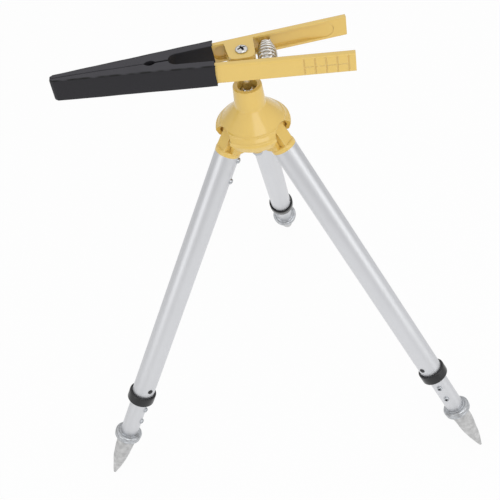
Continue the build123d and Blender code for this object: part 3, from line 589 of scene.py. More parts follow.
# For each of the record's slots: how its finish is made and what it is called, and for plastics and plated
# steel the colour, the least and greatest roughness, and the size of the patches
FINISHES = {
    "yellow_paint": (stove_enamel, "stove_enamel_yellow"),
    "tube_aluminium": (anodised_tube, "satin_anodised_aluminium"),
    "jaw_rubber": (moulded_rubber, "moulded_black_rubber"),
    "bush_plastic": (moulded_plastic, "moulded_black_plastic", "plastic", 0.2, 0.32, 3.0 * MM),
    "nylon": (moulded_plastic, "moulded_natural_nylon", "nylon", 0.4, 0.55, 4.0 * MM),
    "bright_steel": (plated_steel, "nickel_plated_steel", "nickel", 0.1, 0.2, 2.5 * MM),
    "plain_steel": (plated_steel, "zinc_plated_steel", "zinc_plate", 0.22, 0.34, 2.0 * MM),
    "cast_zinc": (cast_zinc, "tumbled_cast_zinc"),
}


def finish_for(slot):
    """The finish of one of the record's slots, made the first time it is asked for."""
    maker, name, *values = FINISHES[slot]
    return bpy.data.materials.get(name) or maker(name, bpy.context.scene.tripod_colours, *values)


# Operators: one for each piece or group of like pieces


class TRIPOD_OT_castings(bpy.types.Operator):
    """Give each CAD node its finish, by the slot that the record names"""

    bl_idname = "tripod.castings"
    bl_label = "Castings and inner pieces"

    def execute(self, context):
        for entry in frame["record"]["subparts"]:
            mesh = frame["nodes"][entry["node"]].data
            material = finish_for(entry["material_slot"])
            mesh.materials.clear()
            mesh.materials.append(material)
        return {"FINISHED"}


# Height above the hinge pins where the bell's rows start, and radius where an arch's width is measured
BELL_TOP, ARCH_RADIUS = 12 * MM, 31 * MM
# Degrees from a leg where the columns change their spacing, to crowd at the arch's sides, and their numbers
ARCH_STOPS, ARCH_COLUMNS = (-60, -26.5, -19, 19, 26.5, 60), (13, 39, 47, 39, 13)
# Heights of the beads above the hinge pins and half their width, and width and depth of the mouth's flare
BEAD_PLACES, BEAD_WIDTH = (6.4 * MM, 1.9 * MM), 0.6 * MM
MOUTH_FLARE, FLARE_DEPTH = 1.2 * MM, 5 * MM
# How far the cheeks reach out, in and up from a leg's pin
CHEEK_FRONT, CHEEK_BACK, CHEEK_TOP = 3 * MM, 9 * MM, 16 * MM
# Inner and outer edge of the webs, their top above the pins, the lean of their front, and their clearance
WEB_BACK, WEB_FRONT, WEB_TOP, WEB_LEAN, WEB_CLEAR = 9 * MM, 24 * MM, 5 * MM, 3.5 * MM, 1 * MM


def bell_skin(sizes, height, inset=0.0, bead=0.0):
    """Radius of the bell: the lesser of cone and skirt, blended at the knee, plus two bell-shaped beads.

    The blend of a and b is their mean less the root of (half their difference) squared plus round squared.
    Each line is set in by inset times the root of 1 plus its slope squared.
    """
    slope = (sizes.shoulder - sizes.neck_foot) / sizes.cone_rise
    taper = (sizes.shoulder - sizes.skirt) / sizes.skirt_drop
    cone = sizes.shoulder - slope * height - inset * (1 + slope**2) ** 0.5
    side = sizes.shoulder + taper * height - inset * (1 + taper**2) ** 0.5
    knee = (cone + side) / 2 - np.sqrt(((cone - side) / 2) ** 2 + sizes.shoulder_round**2)
    return knee + bead * sum(np.exp(-(((height - place) / BEAD_WIDTH) ** 2)) for place in BEAD_PLACES)


def bell_rows(sizes, edge):
    """Radius and height of the bell's wall, for the height of its lower edge at each column.

    Rows run down the skin, round the lip by a half turn and up inside. Down is each row's share of the way to
    the edge, and through its share of the way through the wall.
    """
    lip = sizes.lip / (BELL_TOP + sizes.skirt_drop)
    swing = np.linspace(0, pi, 13)
    skin = np.linspace(0, 1 - lip, 90)[:-1]
    inside = np.linspace(1 - lip, 0, 26)[1:]
    down = np.concatenate([skin, 1 - lip + lip * np.sin(swing), inside])[:, None]
    through = np.concatenate([0 * skin, (1 - np.cos(swing)) / 2, 0 * inside + 1])[:, None]
    height = BELL_TOP + down * (edge - BELL_TOP)
    outer = bell_skin(sizes, height, bead=sizes.bead * (through < 0.5))
    return outer + through * (bell_skin(sizes, height, sizes.wall) - outer), height


def head_core(sizes):
    """Radius and height of the hollow, boss, socket, mouth and neck, which are the same at every angle."""
    ball = ball_height - pin_height
    low = head_low - pin_height
    floor = ball - sizes.socket_floor
    mouth_drop = (sizes.socket**2 - sizes.mouth**2) ** 0.5
    arc = np.linspace(0, np.arctan2(mouth_drop, sizes.mouth), 8)
    socket = np.stack([sizes.socket * np.cos(arc), ball + sizes.socket * np.sin(arc)], 1)
    corners = [
        (bell_skin(sizes, BELL_TOP, sizes.wall), BELL_TOP, 0),
        (bell_skin(sizes, sizes.ceiling, sizes.wall), sizes.ceiling, 0),
        (sizes.boss, sizes.ceiling, 1.5 * MM),
        (sizes.boss, low, 0.8 * MM),
        (sizes.screw_bore, low, 0),
        (sizes.screw_bore, floor, 0),
        (sizes.socket, floor, 0),
        *plain(socket),
        (sizes.mouth, sizes.neck_rise - FLARE_DEPTH, 0),
        (sizes.mouth + MOUTH_FLARE, sizes.neck_rise, 0.5 * MM),
        (sizes.neck_rim, sizes.neck_rise, 1.0 * MM),
        (sizes.neck_foot, sizes.cone_rise, 1.6 * MM),
        (bell_skin(sizes, BELL_TOP), BELL_TOP, 0),
    ]
    return rounded(corners)[1:-1]


class TRIPOD_OT_head(bpy.types.Operator):
    """Coned head casting: a neck with the ball's socket, a beaded bell with arches, a boss and cheeks"""

    bl_idname = "tripod.head"
    bl_label = "Head casting"

    def execute(self, context):
        sizes = context.scene.tripod_head
        stretches = zip(ARCH_STOPS, ARCH_STOPS[1:], ARCH_COLUMNS)
        turn = np.concatenate([np.linspace(*stretch, endpoint=False) for stretch in stretches])
        azimuths = [np.degrees(np.arctan2(*leg_frame(leg)[0][1::-1])) for leg in LEGS]
        angle = np.radians(np.concatenate([azimuth + turn for azimuth in azimuths]))
        # Arch: half an ellipse over the pins' height, and sides that slant out to the skirt's edge
        across = np.abs(ARCH_RADIUS * np.sin(np.radians(turn)))
        crown = sizes.arch_rise * np.sqrt(np.clip(1 - (across / sizes.arch_half) ** 2, 0, 1))
        leg_side = -sizes.skirt_drop * np.clip((across - sizes.arch_half) / sizes.arch_flare, 0, 1)
        edge = np.tile(np.where(across < sizes.arch_half, crown, leg_side), len(LEGS))
        core = np.repeat(head_core(sizes)[:, None], len(angle), 1)
        radius, height = (
            np.concatenate([bell, core[..., k]]) for k, bell in enumerate(bell_rows(sizes, edge))
        )
        grid = np.stack([radius * np.cos(angle), radius * np.sin(angle), height + pin_height], -1)
        shells = Shells().add(grid, loop=True)

        # Cheeks: plates beside each tongue, with an arc about the pin below and their top in the bell
        swing = np.linspace(0, np.arcsin(CHEEK_BACK / sizes.cheek_stop), 10)
        foot = sizes.cheek_stop * np.stack([-np.sin(swing), np.cos(swing)], 1)
        front = [(CHEEK_FRONT, -CHEEK_TOP), (CHEEK_FRONT, sizes.cheek_stop)]
        plate = np.concatenate([front, foot, [(-CHEEK_BACK, -CHEEK_TOP)]])
        # Webs close the bell behind the sides of each arch, above the skirt's edge
        low = WEB_CLEAR - sizes.skirt_drop
        front = [(WEB_FRONT, low), (WEB_FRONT, WEB_CLEAR), (WEB_FRONT - WEB_LEAN, WEB_TOP)]
        web = np.array([(WEB_BACK, low), *front, (WEB_BACK, WEB_TOP)])
        for leg in LEGS:
            origin, pin, across, down = leg_frame(leg)
            level = unit(origin * [1, 1, 0])
            outward = across if across @ level > 0 else -across
            outline = origin + plate[:, :1] * outward + plate[:, 1:] * down
            back = level * web[:, :1] + UP * (pin_height + web[:, 1:])
            for side in (pin, -pin):
                for shape, width in ((outline, sizes.cheek), (back, sizes.web)):
                    depth = sizes.cheek_gap + np.array([0, width])
                    shells.add(shape + depth[:, None, None] * side)
        shells.make("head_bell", "head", "yellow_paint", "head_casting")
        return {"FINISHED"}


class TRIPOD_OT_tubes(bpy.types.Operator):
    """Upper and lower tubes of the legs, as drawn walls with softened ends"""

    bl_idname = "tripod.tubes"
    bl_label = "Tubes"

    def execute(self, context):
        soft = context.scene.tripod_legs.tube_round
        runs = (
            ("tube_upper", "leg", "outer_tube", tube_top, tube_end, tube_bore, tube_skin),
            ("tube_lower", "foot", "inner_tube", lower_top, lower_end, lower_bore, lower_skin),
        )
        for leg in LEGS:
            for name, body, node, top, end, bore, skin in runs:
                wall = rounded([(bore, top, soft), (skin, top, soft), (skin, end, soft), (bore, end, soft)])
                shells = Shells().add(turned(leg_frame(leg), *wall.T), loop=True)
                shells.make(f"{leg}_{name}", f"{leg}_{body}", "tube_aluminium", f"{leg}_{node}")
        return {"FINISHED"}


# Width and depth of the lead-in at a collar's mouths, play between its lip and the tube, and columns of a nub
LEAD_WIDTH, LEAD_DEPTH, LIP_PLAY, NUB_ROUND = 0.9 * MM, 0.6 * MM, 0.02 * MM, 48


class TRIPOD_OT_collars(bpy.types.Operator):
    """Black guide bushes: a collar over the upper tube's end, a sleeve inside it and two domed snap nubs"""

    bl_idname = "tripod.collars"
    bl_label = "Collars"

    def execute(self, context):
        sizes = context.scene.tripod_legs
        corners = [
            (guide_bore, bush_top, 0),
            (tube_bore, bush_top, 0),
            (tube_bore, tube_end, 0),
            (tube_skin, tube_end, 0),
            (tube_skin + LIP_PLAY, collar_top + LEAD_DEPTH, 0.2 * MM),
            (tube_skin + LEAD_WIDTH, collar_top, 0.3 * MM),
            (collar_skin, collar_top, sizes.collar_round),
            (collar_skin, collar_end, sizes.collar_round),
            (lower_skin + LEAD_WIDTH, collar_end, 0.3 * MM),
            (guide_bore, collar_end - LEAD_DEPTH, 0.2 * MM),
        ]
        profile = rounded(corners)
        # Nub: its dome's height over the tube is crown times (1 - share of its radius ** 2.6) ** 0.6
        share = np.linspace(0.06, 1, 12)
        dome = np.stack([share * nub_skin, tube_skin + sizes.nub_crown * (1 - share**2.6) ** 0.6], 1)
        nub = np.concatenate([dome, [[nub_skin, tube_bore]]])
        for leg in LEGS:
            origin, pin, _, down = leg_frame(leg)
            shells = Shells().add(turned(leg_frame(leg), *profile.T), loop=True)
            for side in (pin, -pin):
                seat = origin + nub_place * down
                grid = turned((seat, down, np.cross(side, down), side), *nub.T, NUB_ROUND)
                top = seat + side * (tube_skin + sizes.nub_crown)
                shells.add(grid, poles=(top, seat + side * tube_bore))
            shells.make(f"{leg}_collar", f"{leg}_leg", "bush_plastic", f"{leg}_guide_bush")
        return {"FINISHED"}


# Distances of the dish's inner edge, floor and outer edge from the lower tube's skin
DISH_PLACES = (0.5 * MM, 1.4 * MM, 2.4 * MM)
# Shares of the flange's depth where its groove starts, is deepest and ends, its depth, and the inset below it
GROOVE_PLACES, GROOVE_DEPTH, STEP_INSET = (0.62, 0.68, 0.75), 0.9 * MM, 0.35 * MM
# Length over which the cast waves grow below the flange, and radius below which they fade at the point
WAVE_RUN, WAVE_RADIUS = 4 * MM, 6 * MM


class TRIPOD_OT_feet(bpy.types.Operator):
    """Cast feet: a spigot, a dished two-step flange to tread on and an ogive spike"""

    bl_idname = "tripod.feet"
    bl_label = "Feet"

    def execute(self, context):
        sizes = context.scene.tripod_legs
        # Ogive: a straight taper plus a parabola that is greatest half way, and a round point
        share = np.linspace(0, 1, 40)
        end = foot_tip - sizes.spike_point
        straight = sizes.spike_base * (1 - share) + sizes.spike_point * share
        bulge = 4 * sizes.spike_bulge * share * (1 - share)
        ogive = np.stack([straight + bulge, flange_end + share * (end - flange_end)], 1)
        swing = np.linspace(0.15, 0.94, 8) * pi / 2
        point = np.stack([sizes.spike_point * np.cos(swing), end + sizes.spike_point * np.sin(swing)], 1)
        dish_edge, dish_floor, dish_rim = (lower_skin + place for place in DISH_PLACES)
        groove_top, groove, groove_end = (
            foot_top + place * (flange_end - foot_top) for place in GROOVE_PLACES
        )
        corners = [
            (0, spigot_top, 0),
            (lower_bore, spigot_top, 0),
            (lower_bore, foot_top, 0),
            (dish_edge, foot_top, 0.3 * MM),
            (dish_floor, foot_top + sizes.dish, 0.4 * MM),
            (dish_rim, foot_top, 0.5 * MM),
            (flange_skin, foot_top, 2.3 * MM),
            (flange_skin, groove_top, 1.5 * MM),
            (flange_skin - GROOVE_DEPTH, groove, 0.25 * MM),
            (flange_skin - STEP_INSET, groove_end, 0.5 * MM),
            (flange_skin - STEP_INSET, flange_end, 0.8 * MM),
            *plain(ogive),
            *plain(point),
            (0, foot_tip, 0),
        ]
        radius, distance = np.split(rounded(corners)[1:-1], 2, 1)
        along = np.clip((distance - flange_end) / WAVE_RUN, 0, 1)
        angle = circle(ROUND)
        depth = distance / MM
        for index, leg in enumerate(LEGS):
            # Cast waves: sines of a few turns round the spike whose phase drifts down it
            wave = np.sin(3 * angle + 0.21 * depth + index)
            wave = wave + 0.7 * np.sin(5 * angle - 0.33 * depth + 2 * index)
            uneven = radius + sizes.cast_wave * along * wave * np.clip(radius / WAVE_RADIUS, 0, 1)
            origin, _, _, down = leg_frame(leg)
            poles = (origin + down * spigot_top, origin + down * foot_tip)
            grid = turned(leg_frame(leg), uneven, distance[:, 0])
            # The mark is 1 on the spigot and flange, which are smoother and carry painted glints and painted
            # reflections
            shells = Shells().add(grid, poles=poles, mark=1 - along)
            shells.make(f"{leg}_foot_casting", f"{leg}_foot", "cast_zinc", f"{leg}_foot_spike")
        return {"FINISHED"}


# Radians that a pair's first screw is turned, the second being turned one more, and how far the heads sink
SCREW_SPIN, SCREW_SINK = 0.5, 0.4 * MM
# Share of the pivot screw's radius beyond which a point is on its head, and direction of an arm of its cross
HEAD_SHARE, CROSS_ARM = 0.9, (1.0, 0.45, 0.0)


class TRIPOD_OT_leg_screws(bpy.types.Operator):
    """Cross-recessed pan-head screws of the tubes, on the seats of their CAD nodes"""

    bl_idname = "tripod.leg_screws"
    bl_label = "Leg screws"

    def execute(self, context):
        sizes = context.scene.tripod_legs
        shape = (sizes.screw_head, sizes.screw_crown, sizes.screw_shank)
        for leg in LEGS:
            origin, _, _, down = leg_frame(leg)
            for node, body, skin in (("plug_screws", "leg", tube_skin), ("foot_screws", "foot", lower_skin)):
                distance, radius, across = along_leg(leg, node)
                middle = (distance.min() + distance.max()) / 2
                shells = Shells()
                for turn, group in enumerate((distance < middle, distance >= middle)):
                    outward = unit(across[group & (radius > skin)].mean(0))
                    place = (distance[group].min() + distance[group].max()) / 2
                    seat = origin + down * place + outward * skin
                    spin = SCREW_SPIN + turn
                    spun = unit(down * cos(spin) + np.cross(outward, down) * sin(spin))
                    depth = skin - radius[group].min()
                    pan_screw(shells, seat, outward, spun, *shape, depth, SCREW_SINK)
                shells.make(f"{leg}_{body}_screws", f"{leg}_{body}", "plain_steel", f"{leg}_{node}")
        return {"FINISHED"}


class TRIPOD_OT_pivot_screw(bpy.types.Operator):
    """Domed cross-recessed screw on top of the clamp's pivot"""

    bl_idname = "tripod.pivot_screw"
    bl_label = "Pivot screw"

    def execute(self, context):
        sizes = context.scene.tripod_clamp
        head = (pivot_high[0] - pivot_low[0]) / 2
        points = cad_points("pivot_screw")
        seat = UP * points[np.hypot(points[:, 0], points[:, 1]) > HEAD_SHARE * head, 2].min()
        shape = (head, sizes.pivot_crown, sizes.pivot_shank)
        shells = Shells()
        pan_screw(shells, seat, UP, unit(CROSS_ARM), *shape, seat[2] - pivot_low[2], 0.0)
        shells.make("clamp_pivot_screw", "ball_stud", "bright_steel", "pivot_screw")
        return {"FINISHED"}


# Points on each turn of the wire, on each bent end and round the wire
TURN_POINTS, BEND_POINTS, WIRE_ROUND = 72, 40, 20
# Slopes of a bend at the coil and at the arm, shift of its end in X and Z, and length that stays on the arm
COIL_SLOPE, ARM_SLOPE, END_SHIFT, SPRING_SEAT = 4.5 * MM, 9 * MM, (-0.5 * MM, 2.6 * MM), 1.8 * MM


class TRIPOD_OT_spring(bpy.types.Operator):
    """Barrel spring between the handles: one wire that bends out to both arms, cut at its middle"""

    bl_idname = "tripod.spring"
    bl_label = "Spring"

    def execute(self, context):
        sizes = context.scene.tripod_clamp
        centre = (spring_low + spring_high) / 2
        half = (spring_high[1] - spring_low[1]) / 2
        # Coil: radius swells by a cosine from end to middle, angle runs on evenly, Y runs from end to end
        turn = np.linspace(0, sizes.coil_turns, TURN_POINTS * sizes.coil_turns + 1)
        share = 2 * turn / sizes.coil_turns - 1
        swell = sizes.coil_end + (sizes.coil_middle - sizes.coil_end) * np.cos(share * pi / 2)
        along = share * (half - sizes.lead_in)
        coil = np.stack([swell * np.cos(2 * pi * turn), along, swell * np.sin(2 * pi * turn)], 1)
        # Ends: cubic from the coil's own direction to straight out along Y, by its two points and two slopes
        run = np.linspace(0, 1, BEND_POINTS)[1:, None]
        leave_coil = unit(coil[-1] - coil[-2]) * COIL_SLOPE
        meet_arm = np.array([0.0, ARM_SLOPE, 0.0])
        tip = np.array([coil[-1, 0] + END_SHIFT[0], half, coil[-1, 2] + END_SHIFT[1]])
        bend = (
            coil[-1] * (2 * run**3 - 3 * run**2 + 1)
            + leave_coil * (run**3 - 2 * run**2 + run)
            + tip * (3 * run**2 - 2 * run**3)
            + meet_arm * (run**3 - run**2)
        )
        path = np.concatenate([(bend * [1, -1, -1])[::-1], coil, bend])
        # Wire: circles about the path, by cos of the way out from the coil's axis and sin of the way across
        ahead = unit(np.gradient(path, axis=0))
        radial = path * [1, 0, 1]
        radial = unit(radial - (radial * ahead).sum(1, keepdims=True) * ahead)
        side = np.cross(ahead, radial)
        angle = circle(WIRE_ROUND)[:, None]
        ring = np.cos(angle) * radial[:, None] + np.sin(angle) * side[:, None]
        grid = centre + path[:, None] + sizes.wire * ring
        # The wire is cut at its middle into two halves, one bending out to each arm
        middle = len(path) // 2
        for name, part, way in (("near", grid[: middle + 1], -1), ("far", grid[middle:], 1)):
            piece = Shells().add(part).make(f"{name}_spring_half", None, "bright_steel", "clamp_spring")
            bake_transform(piece)
        return {"FINISHED"}


# How far a ramp reaches into the pocket's wall and into its floor, and depth of the hollow along it
RAMP_SIDE, RAMP_BACK, RAMP_DISH = 0.12 * MM, 0.6 * MM, 0.5 * MM


class TRIPOD_OT_pocket_ramps(bpy.types.Operator):
    """Cast ramps that run the pockets of both arms out towards the handles' ends"""

    bl_idname = "tripod.pocket_ramps"
    bl_label = "Pocket ramps"

    def execute(self, context):
        sizes = context.scene.tripod_clamp
        points = cad_points("far_arm")
        tip = points[:, 0].min()
        corner = points[points[:, 1].argmax()]
        tip_skin = points[points[:, 0] < tip + ON_END, 1].max()
        along = unit([corner[0] - tip, corner[1] - tip_skin, 0])
        out = np.array([-along[1], along[0], 0])
        mouth = corner @ out - sizes.arm_depth
        end = (points @ along).max() - sizes.pocket_margin
        middle = (points[:, 2].max() + points[:, 2].min()) / 2
        # Ramp: its depth falls by a cosine from the pocket's floor to a shallow lip, with a hollow along it.
        # Its half width follows the pocket's round end: the root of radius squared less (way past the arc's
        # centre) squared.
        share = np.linspace(0, 0.995, 60)
        place = end - sizes.ramp + share * sizes.ramp
        past = np.clip(place - end + sizes.pocket_half, 0, None)
        half = np.sqrt(sizes.pocket_half**2 - past**2) + RAMP_SIDE
        rise = (1 - np.cos(pi * share)) / 2
        depth = sizes.pocket_depth + (sizes.ramp_lip - sizes.pocket_depth) * rise
        across = np.linspace(-1, 1, 17)
        face = mouth + depth[:, None] + RAMP_DISH * np.sin(pi * share)[:, None] * (1 - across**2)
        back = np.full_like(face, mouth + sizes.pocket_depth + RAMP_BACK)
        rows = np.concatenate([face, back], 1)
        height = middle + half[:, None] * np.concatenate([across, across[::-1]])
        grid = place[:, None, None] * along + rows[..., None] * out + height[..., None] * UP
        for side, name in CLAMP_SIDES:
            Shells().add(grid * [1, side, 1]).make(f"{name}_pocket_ramp", f"{name}_arm", "yellow_paint")
        return {"FINISHED"}


# Points on a corner of the rubber's section and steps on each flat side, and slope of the cut at the tip
CORNER_POINTS, FLAT_STEPS, CUT_SLOPE = 6, 6, 0.75
# Rounding of the hollow inside a rubber, extra thickness at its closed end, and rounding of the tip's face
HOLLOW_ROUND, HOLLOW_END, TIP_ROUND = 0.25 * MM, 0.4 * MM, 0.25 * MM
# Length over which the mouth's wandering edge draws the skin along, and height of the waves in the slack skin
WANDER_RUN, RUBBER_SLACK = 9 * MM, 0.1 * MM


class TRIPOD_OT_jaw_rubbers(bpy.types.Operator):
    """Black rubber sleeves on the jaws, with the notches moulded in and a slack, uneven mouth"""

    bl_idname = "tripod.jaw_rubbers"
    bl_label = "Jaw rubbers"

    def execute(self, context):
        sizes = context.scene.tripod_clamp
        points = cad_points("far_sleeve")
        arm_tip, mouth = sleeve_low[0], sleeve_high[0]
        at_tip = points[points[:, 0] < arm_tip + ON_END, 1]
        at_mouth = points[points[:, 0] > mouth - ON_END, 1]
        gap, tip_skin = at_tip.min(), at_tip.max()
        wall_in, wall_out = at_mouth.min(), at_mouth.max()
        tip = arm_tip - sizes.tip_length
        slope = (wall_out - tip_skin) / (mouth - tip)
        middle, half_height = (sleeve_high[2] + sleeve_low[2]) / 2, (sleeve_high[2] - sleeve_low[2]) / 2

        def outer(x):
            """Outer face: a straight slant from the tip to the mouth, cut by a slant at the tip."""
            cut = np.maximum(sizes.tip_chamfer - (x - tip), 0)
            return tip_skin + slope * (x - tip) - CUT_SLOPE * cut

        def inner(x):
            """Inner face: flat at the middle, the small notch's lens, the slit and the wide notch's slant."""
            lens = sizes.notch_depth * (1 - ((x + sizes.notch_place) / sizes.notch_half) ** 2)
            slit = np.where(x > -sizes.notch_place, sizes.slit_half, gap)
            far_wall = wall_in + slope * (x - mouth)
            into = np.clip((x + sizes.wide_end) / sizes.wide_round, 0, 1)
            wide = slit + (far_wall - slit) * np.sqrt(1 - (1 - into) ** 2)
            return np.where(x > -sizes.wide_end, wide, np.maximum(slit, lens))

        def sections(x, inset, soft):
            """Rounded rectangles across the jaw: sides at inner + inset and outer - inset, four corner arcs.

            A corner's points are its arc's centre plus soft times cos and sin, and a flat side runs evenly
            from each arc's last point to the next one's first. The sides stay 2.2 times soft apart.
            """
            low = (inner(x) + inset)[:, None, None]
            high = np.maximum((outer(x) - inset)[:, None, None], low + 2.2 * soft)
            is_high, level = np.array([[1, 0, 0, 1], [1, 1, -1, -1]])[..., None]
            swing = np.linspace(0, pi / 2, CORNER_POINTS) + np.arange(4)[:, None] * pi / 2
            y = np.where(is_high, high - soft, low + soft) + soft * np.cos(swing)
            z = level * (half_height - inset - soft) + soft * np.sin(swing) + 0 * y
            arcs = np.stack([y, z], -1)
            run = np.linspace(0, 1, FLAT_STEPS, endpoint=False)[:, None]
            flats = arcs[:, :, -1:] * (1 - run) + np.roll(arcs, -1, 1)[:, :, :1] * run
            outline = np.concatenate([arcs[:, :, :-1], flats], 2).reshape(len(x), -1, 2)
            return np.insert(outline, 0, x[:, None], axis=2)

        # Rows crowd at the closed end of the wide notch, where the inner face runs straight across
        notch = -sizes.notch_place - sizes.notch_half
        rows = np.concatenate(
            [
                np.linspace(tip, tip + sizes.tip_chamfer, 8, endpoint=False),
                np.linspace(tip + sizes.tip_chamfer, notch, 39, endpoint=False),
                np.linspace(notch, -sizes.wide_end, 39, endpoint=False),
                -sizes.wide_end + sizes.wide_round * np.linspace(0, 1, 19, endpoint=False) ** 2,
                np.linspace(-sizes.wide_end + sizes.wide_round, mouth, 24),
            ]
        )
        outside = sections(rows, 0.0, sizes.rubber_round)
        back = rows[rows > arm_tip + sizes.rubber_wall + HOLLOW_END][::-1]
        inside = sections(back, sizes.rubber_wall, HOLLOW_ROUND)
        # The mouth is cut by hand: its edge wanders by a few tenths of a millimetre
        turn = circle(outside.shape[1])
        wander = (0.35 * np.sin(2 * turn + 0.6) + 0.25 * np.sin(5 * turn)) * MM
        outside[:, :, 0] += np.clip((rows - mouth) / WANDER_RUN + 1, 0, 1)[:, None] ** 2 * wander
        inside[0, :, 0] += wander
        # The skin is slack: its faces sink and swell in long and short waves
        x = rows[:, None] / MM
        slack = np.sin(x / 11) * np.sin(turn) + 0.6 * np.sin(x / 4.3) * np.sin(3 * turn)
        outside[:, :, 2] += RUBBER_SLACK * slack
        # Smaller rings close the tip, and its first row is set back to round its edge
        centre = outside[0].mean(0)
        cap = centre + (outside[0] - centre) * np.linspace(0.15, 0.92, 5)[:, None, None]
        cap[:, :, 0] = tip
        outside[0, :, 0] += TIP_ROUND
        grid = np.concatenate([cap, outside, inside])
        grid[:, :, 2] += middle
        # Painted shade: a dark line runs along the top outer edge, in the columns of its corner arc, and comes and
        # goes
        edge_shade = np.zeros(grid.shape[:2])
        on_skin = slice(len(cap), len(cap) + len(rows))
        edge_shade[on_skin, 1:CORNER_POINTS] = np.clip(0.75 + 0.8 * np.sin(x / 7) * np.sin(x / 2.6), 0, 1)
        for side, name in CLAMP_SIDES:
            shells = Shells().add(grid * [1, side, 1], mark=edge_shade)
            shells.make(f"{name}_jaw_rubber", f"{name}_arm", "jaw_rubber", f"{name}_sleeve")
        return {"FINISHED"}


# The room as metal sees it: its brightness at the horizon, and how high up, as a sine, it turns white
HORIZON, CEILING = 0.4, 0.5
# A pool of light painted into the floor's glow, as metal sees it: half its width and depth, how far in front it
# lies, its brightness, that of the floor beyond it, and at how many times its size that is reached
POOL_SIZE, POOL_FRONT = (0.2, 0.8), 0.3
POOL_BRIGHT, POOL_DIM, POOL_REACH = 0.93, 0.1, 1.6
# Half the width of the floor, in metres
FLOOR_HALF = 6.0
# Lamps: name, place, width, height, and share of the key's or the fill's power
KEY_LAMP = ("key_lamp", (0.5, -1.3, 1.6), 1.1, 1.1, 1.0)
STRIP_LAMPS = (
    ("left_strip", (-1.2, -0.75, 0.45), 0.8, 0.9, 1.0),
    ("right_strip", (1.2, -0.75, 0.45), 0.8, 0.9, 1.1),
)
LAMP_AIM = Vector((0, 0, 0.3))
# Camera: focal length and sensor in millimetres, the shift of the photograph's crop, and its place and turn
LENS, SENSOR = 74.27, 36.0
SHIFT_X, SHIFT_Y = -0.086, -0.066
CAMERA_PLACE = (0.00101, -0.67092, 0.94162)
CAMERA_RIGHT = Vector((0.98719, -0.12934, -0.09344))
CAMERA_UP = Vector((0.15797, 0.70987, 0.68639))


def seen_white(tree):
    """1 for rays from the camera and from mirrors and glass, which see the white surround as it is."""
    total = add(tree, "LightPath", {}, "Is Camera Ray")
    for kind in ("Is Glossy Ray", "Is Transmission Ray"):
        ray = add(tree, "LightPath", {}, kind)
        total = add(tree, "Math", {0: total, 1: ray}, operation="ADD", use_clamp=True)
    return total


def white_surround(settings):
    """White world, which bright metal sees as a room that dims from a soft ceiling to the horizon."""
    world = bpy.data.worlds.new("white_surround")
    world.use_nodes = True
    tree = world.node_tree
    aim = add(tree, "SeparateXYZ", {0: add(tree, "TexCoord", {}, "Generated")}, "Z")
    room = add(tree, "MapRange", {"Value": aim, "From Max": CEILING, "To Min": HORIZON, "To Max": 1.0})
    direct = add(tree, "LightPath", {}, "Is Camera Ray")
    levels = {0: direct, NUMBER_A: room, NUMBER_B: 1.0}
    white = add(tree, "Mix", levels, NUMBER_OUT, data_type="FLOAT")
    levels = {0: seen_white(tree), NUMBER_A: settings.sky, NUMBER_B: white}
    strength = add(tree, "Mix", levels, NUMBER_OUT, data_type="FLOAT")
    feed(tree, tree.nodes["Background"], {"Strength": strength, "Color": WHITE})
    return world


def white_paper(settings):
    """Matte white paper with a glow: even white to the camera, and to metal a painted pool of light, grey beyond.
    """
    paper = bpy.data.materials.new("white_paper_sweep")
    paper.use_nodes = True
    tree = paper.node_tree
    tree.nodes.remove(tree.nodes["Principled BSDF"])
    matte = add(tree, "BsdfDiffuse", {"Color": settings.floor})
    glow = add(tree, "Emission", {"Color": WHITE, "Strength": 1.0})
    place = add(tree, "TexCoord", {}, "Object")
    width, depth = POOL_SIZE
    oval = {"Vector": place, "Location": (0, POOL_FRONT / depth, 0), "Scale": (1 / width, 1 / depth, 0)}
    away = add(tree, "VectorMath", {0: add(tree, "Mapping", oval)}, "Value", operation="LENGTH")
    fade = {"From Min": 1.0, "From Max": POOL_REACH, "To Min": POOL_BRIGHT, "To Max": POOL_DIM}
    pool = add(tree, "MapRange", {"Value": away, **fade})
    direct = add(tree, "LightPath", {}, "Is Camera Ray")
    levels = {0: direct, NUMBER_A: pool, NUMBER_B: POOL_BRIGHT}
    level = add(tree, "Mix", levels, NUMBER_OUT, data_type="FLOAT")
    share = add(tree, "Math", {0: seen_white(tree), 1: level}, operation="MULTIPLY")
    both = add(tree, "MixShader", {0: share, 1: matte, 2: glow})
    feed(tree, tree.nodes["Material Output"], {"Surface": both})
    return paper


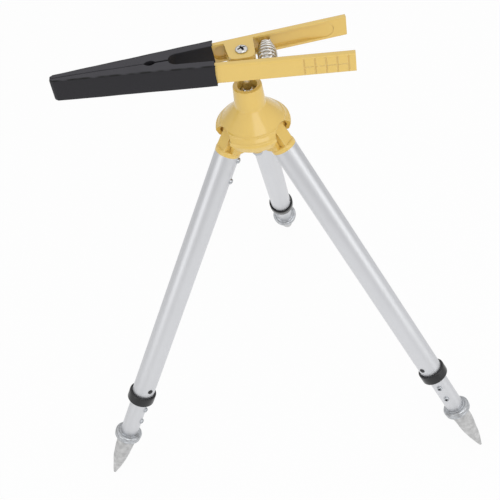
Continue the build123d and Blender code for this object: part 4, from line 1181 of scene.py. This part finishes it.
class TRIPOD_OT_stage(bpy.types.Operator):
    """White studio floor, soft lamps and the camera at the photograph's viewing angle"""

    bl_idname = "tripod.stage"
    bl_label = "Stage"

    def execute(self, context):
        scene = context.scene
        settings = scene.tripod_stage
        scene.view_settings.view_transform = "Standard"
        scene.world = white_surround(settings)

        mesh = bpy.data.meshes.new("floor")
        corners = [(x * FLOOR_HALF, y * FLOOR_HALF, 0) for x, y in ((-1, -1), (1, -1), (1, 1), (-1, 1))]
        mesh.from_pydata(corners, [], [(0, 1, 2, 3)])
        mesh.materials.append(white_paper(settings))
        floor = bpy.data.objects.new("floor", mesh)
        scene.collection.objects.link(floor)

        lamps = [(settings.key, KEY_LAMP), *((settings.fill, strip) for strip in STRIP_LAMPS)]
        for watts, (name, spot, width, height, share) in lamps:
            lamp = bpy.data.lights.new(name, "AREA")
            lamp.shape = "RECTANGLE"
            lamp.size = width
            lamp.size_y = height
            lamp.energy = share * watts
            holder = bpy.data.objects.new(name, lamp)
            holder.location = spot
            holder.rotation_euler = (LAMP_AIM - Vector(spot)).to_track_quat("-Z", "Y").to_euler()
            scene.collection.objects.link(holder)

        lens = bpy.data.cameras.new("camera")
        lens.lens = LENS
        lens.sensor_width = SENSOR
        lens.shift_x = SHIFT_X
        lens.shift_y = SHIFT_Y
        camera = bpy.data.objects.new("camera", lens)
        turn = Matrix((CAMERA_RIGHT, CAMERA_UP, CAMERA_RIGHT.cross(CAMERA_UP))).transposed()
        camera.matrix_world = Matrix.Translation(CAMERA_PLACE) @ turn.to_4x4()
        scene.collection.objects.link(camera)
        scene.camera = camera
        return {"FINISHED"}


PIECES = (
    TRIPOD_OT_castings,
    TRIPOD_OT_head,
    TRIPOD_OT_tubes,
    TRIPOD_OT_collars,
    TRIPOD_OT_feet,
    TRIPOD_OT_leg_screws,
    TRIPOD_OT_pivot_screw,
    TRIPOD_OT_spring,
    TRIPOD_OT_pocket_ramps,
    TRIPOD_OT_jaw_rubbers,
    TRIPOD_OT_stage,
)
GROUPS = {
    "tripod_head": HeadSizes,
    "tripod_legs": LegSizes,
    "tripod_clamp": ClampSizes,
    "tripod_colours": FinishColours,
    "tripod_stage": StageSettings,
}


class TRIPOD_PT_panel(bpy.types.Panel):
    """Sizes, colours and operators of the tripod"""

    bl_idname = "TRIPOD_PT_panel"
    bl_label = "Clamp Tripod"
    bl_space_type = "VIEW_3D"
    bl_region_type = "UI"
    bl_category = "Tripod"

    def draw(self, context):
        for operator in PIECES:
            self.layout.operator(operator.bl_idname)
        for name, group in GROUPS.items():
            box = self.layout.box()
            for size in group.__annotations__:
                box.prop(getattr(context.scene, name), size)


def register():
    for group in (*GROUPS.values(), *PIECES, TRIPOD_PT_panel):
        bpy.utils.register_class(group)
    for name, group in GROUPS.items():
        setattr(bpy.types.Scene, name, PointerProperty(type=group))


def unregister():
    for name in GROUPS:
        delattr(bpy.types.Scene, name)
    for group in (TRIPOD_PT_panel, *reversed(PIECES), *GROUPS.values()):
        bpy.utils.unregister_class(group)


def main():
    """Register the add-on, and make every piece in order."""
    register()
    for operator in PIECES:
        getattr(bpy.ops.tripod, operator.bl_idname.split(".")[1])()


if __name__ == "__main__":
    main()
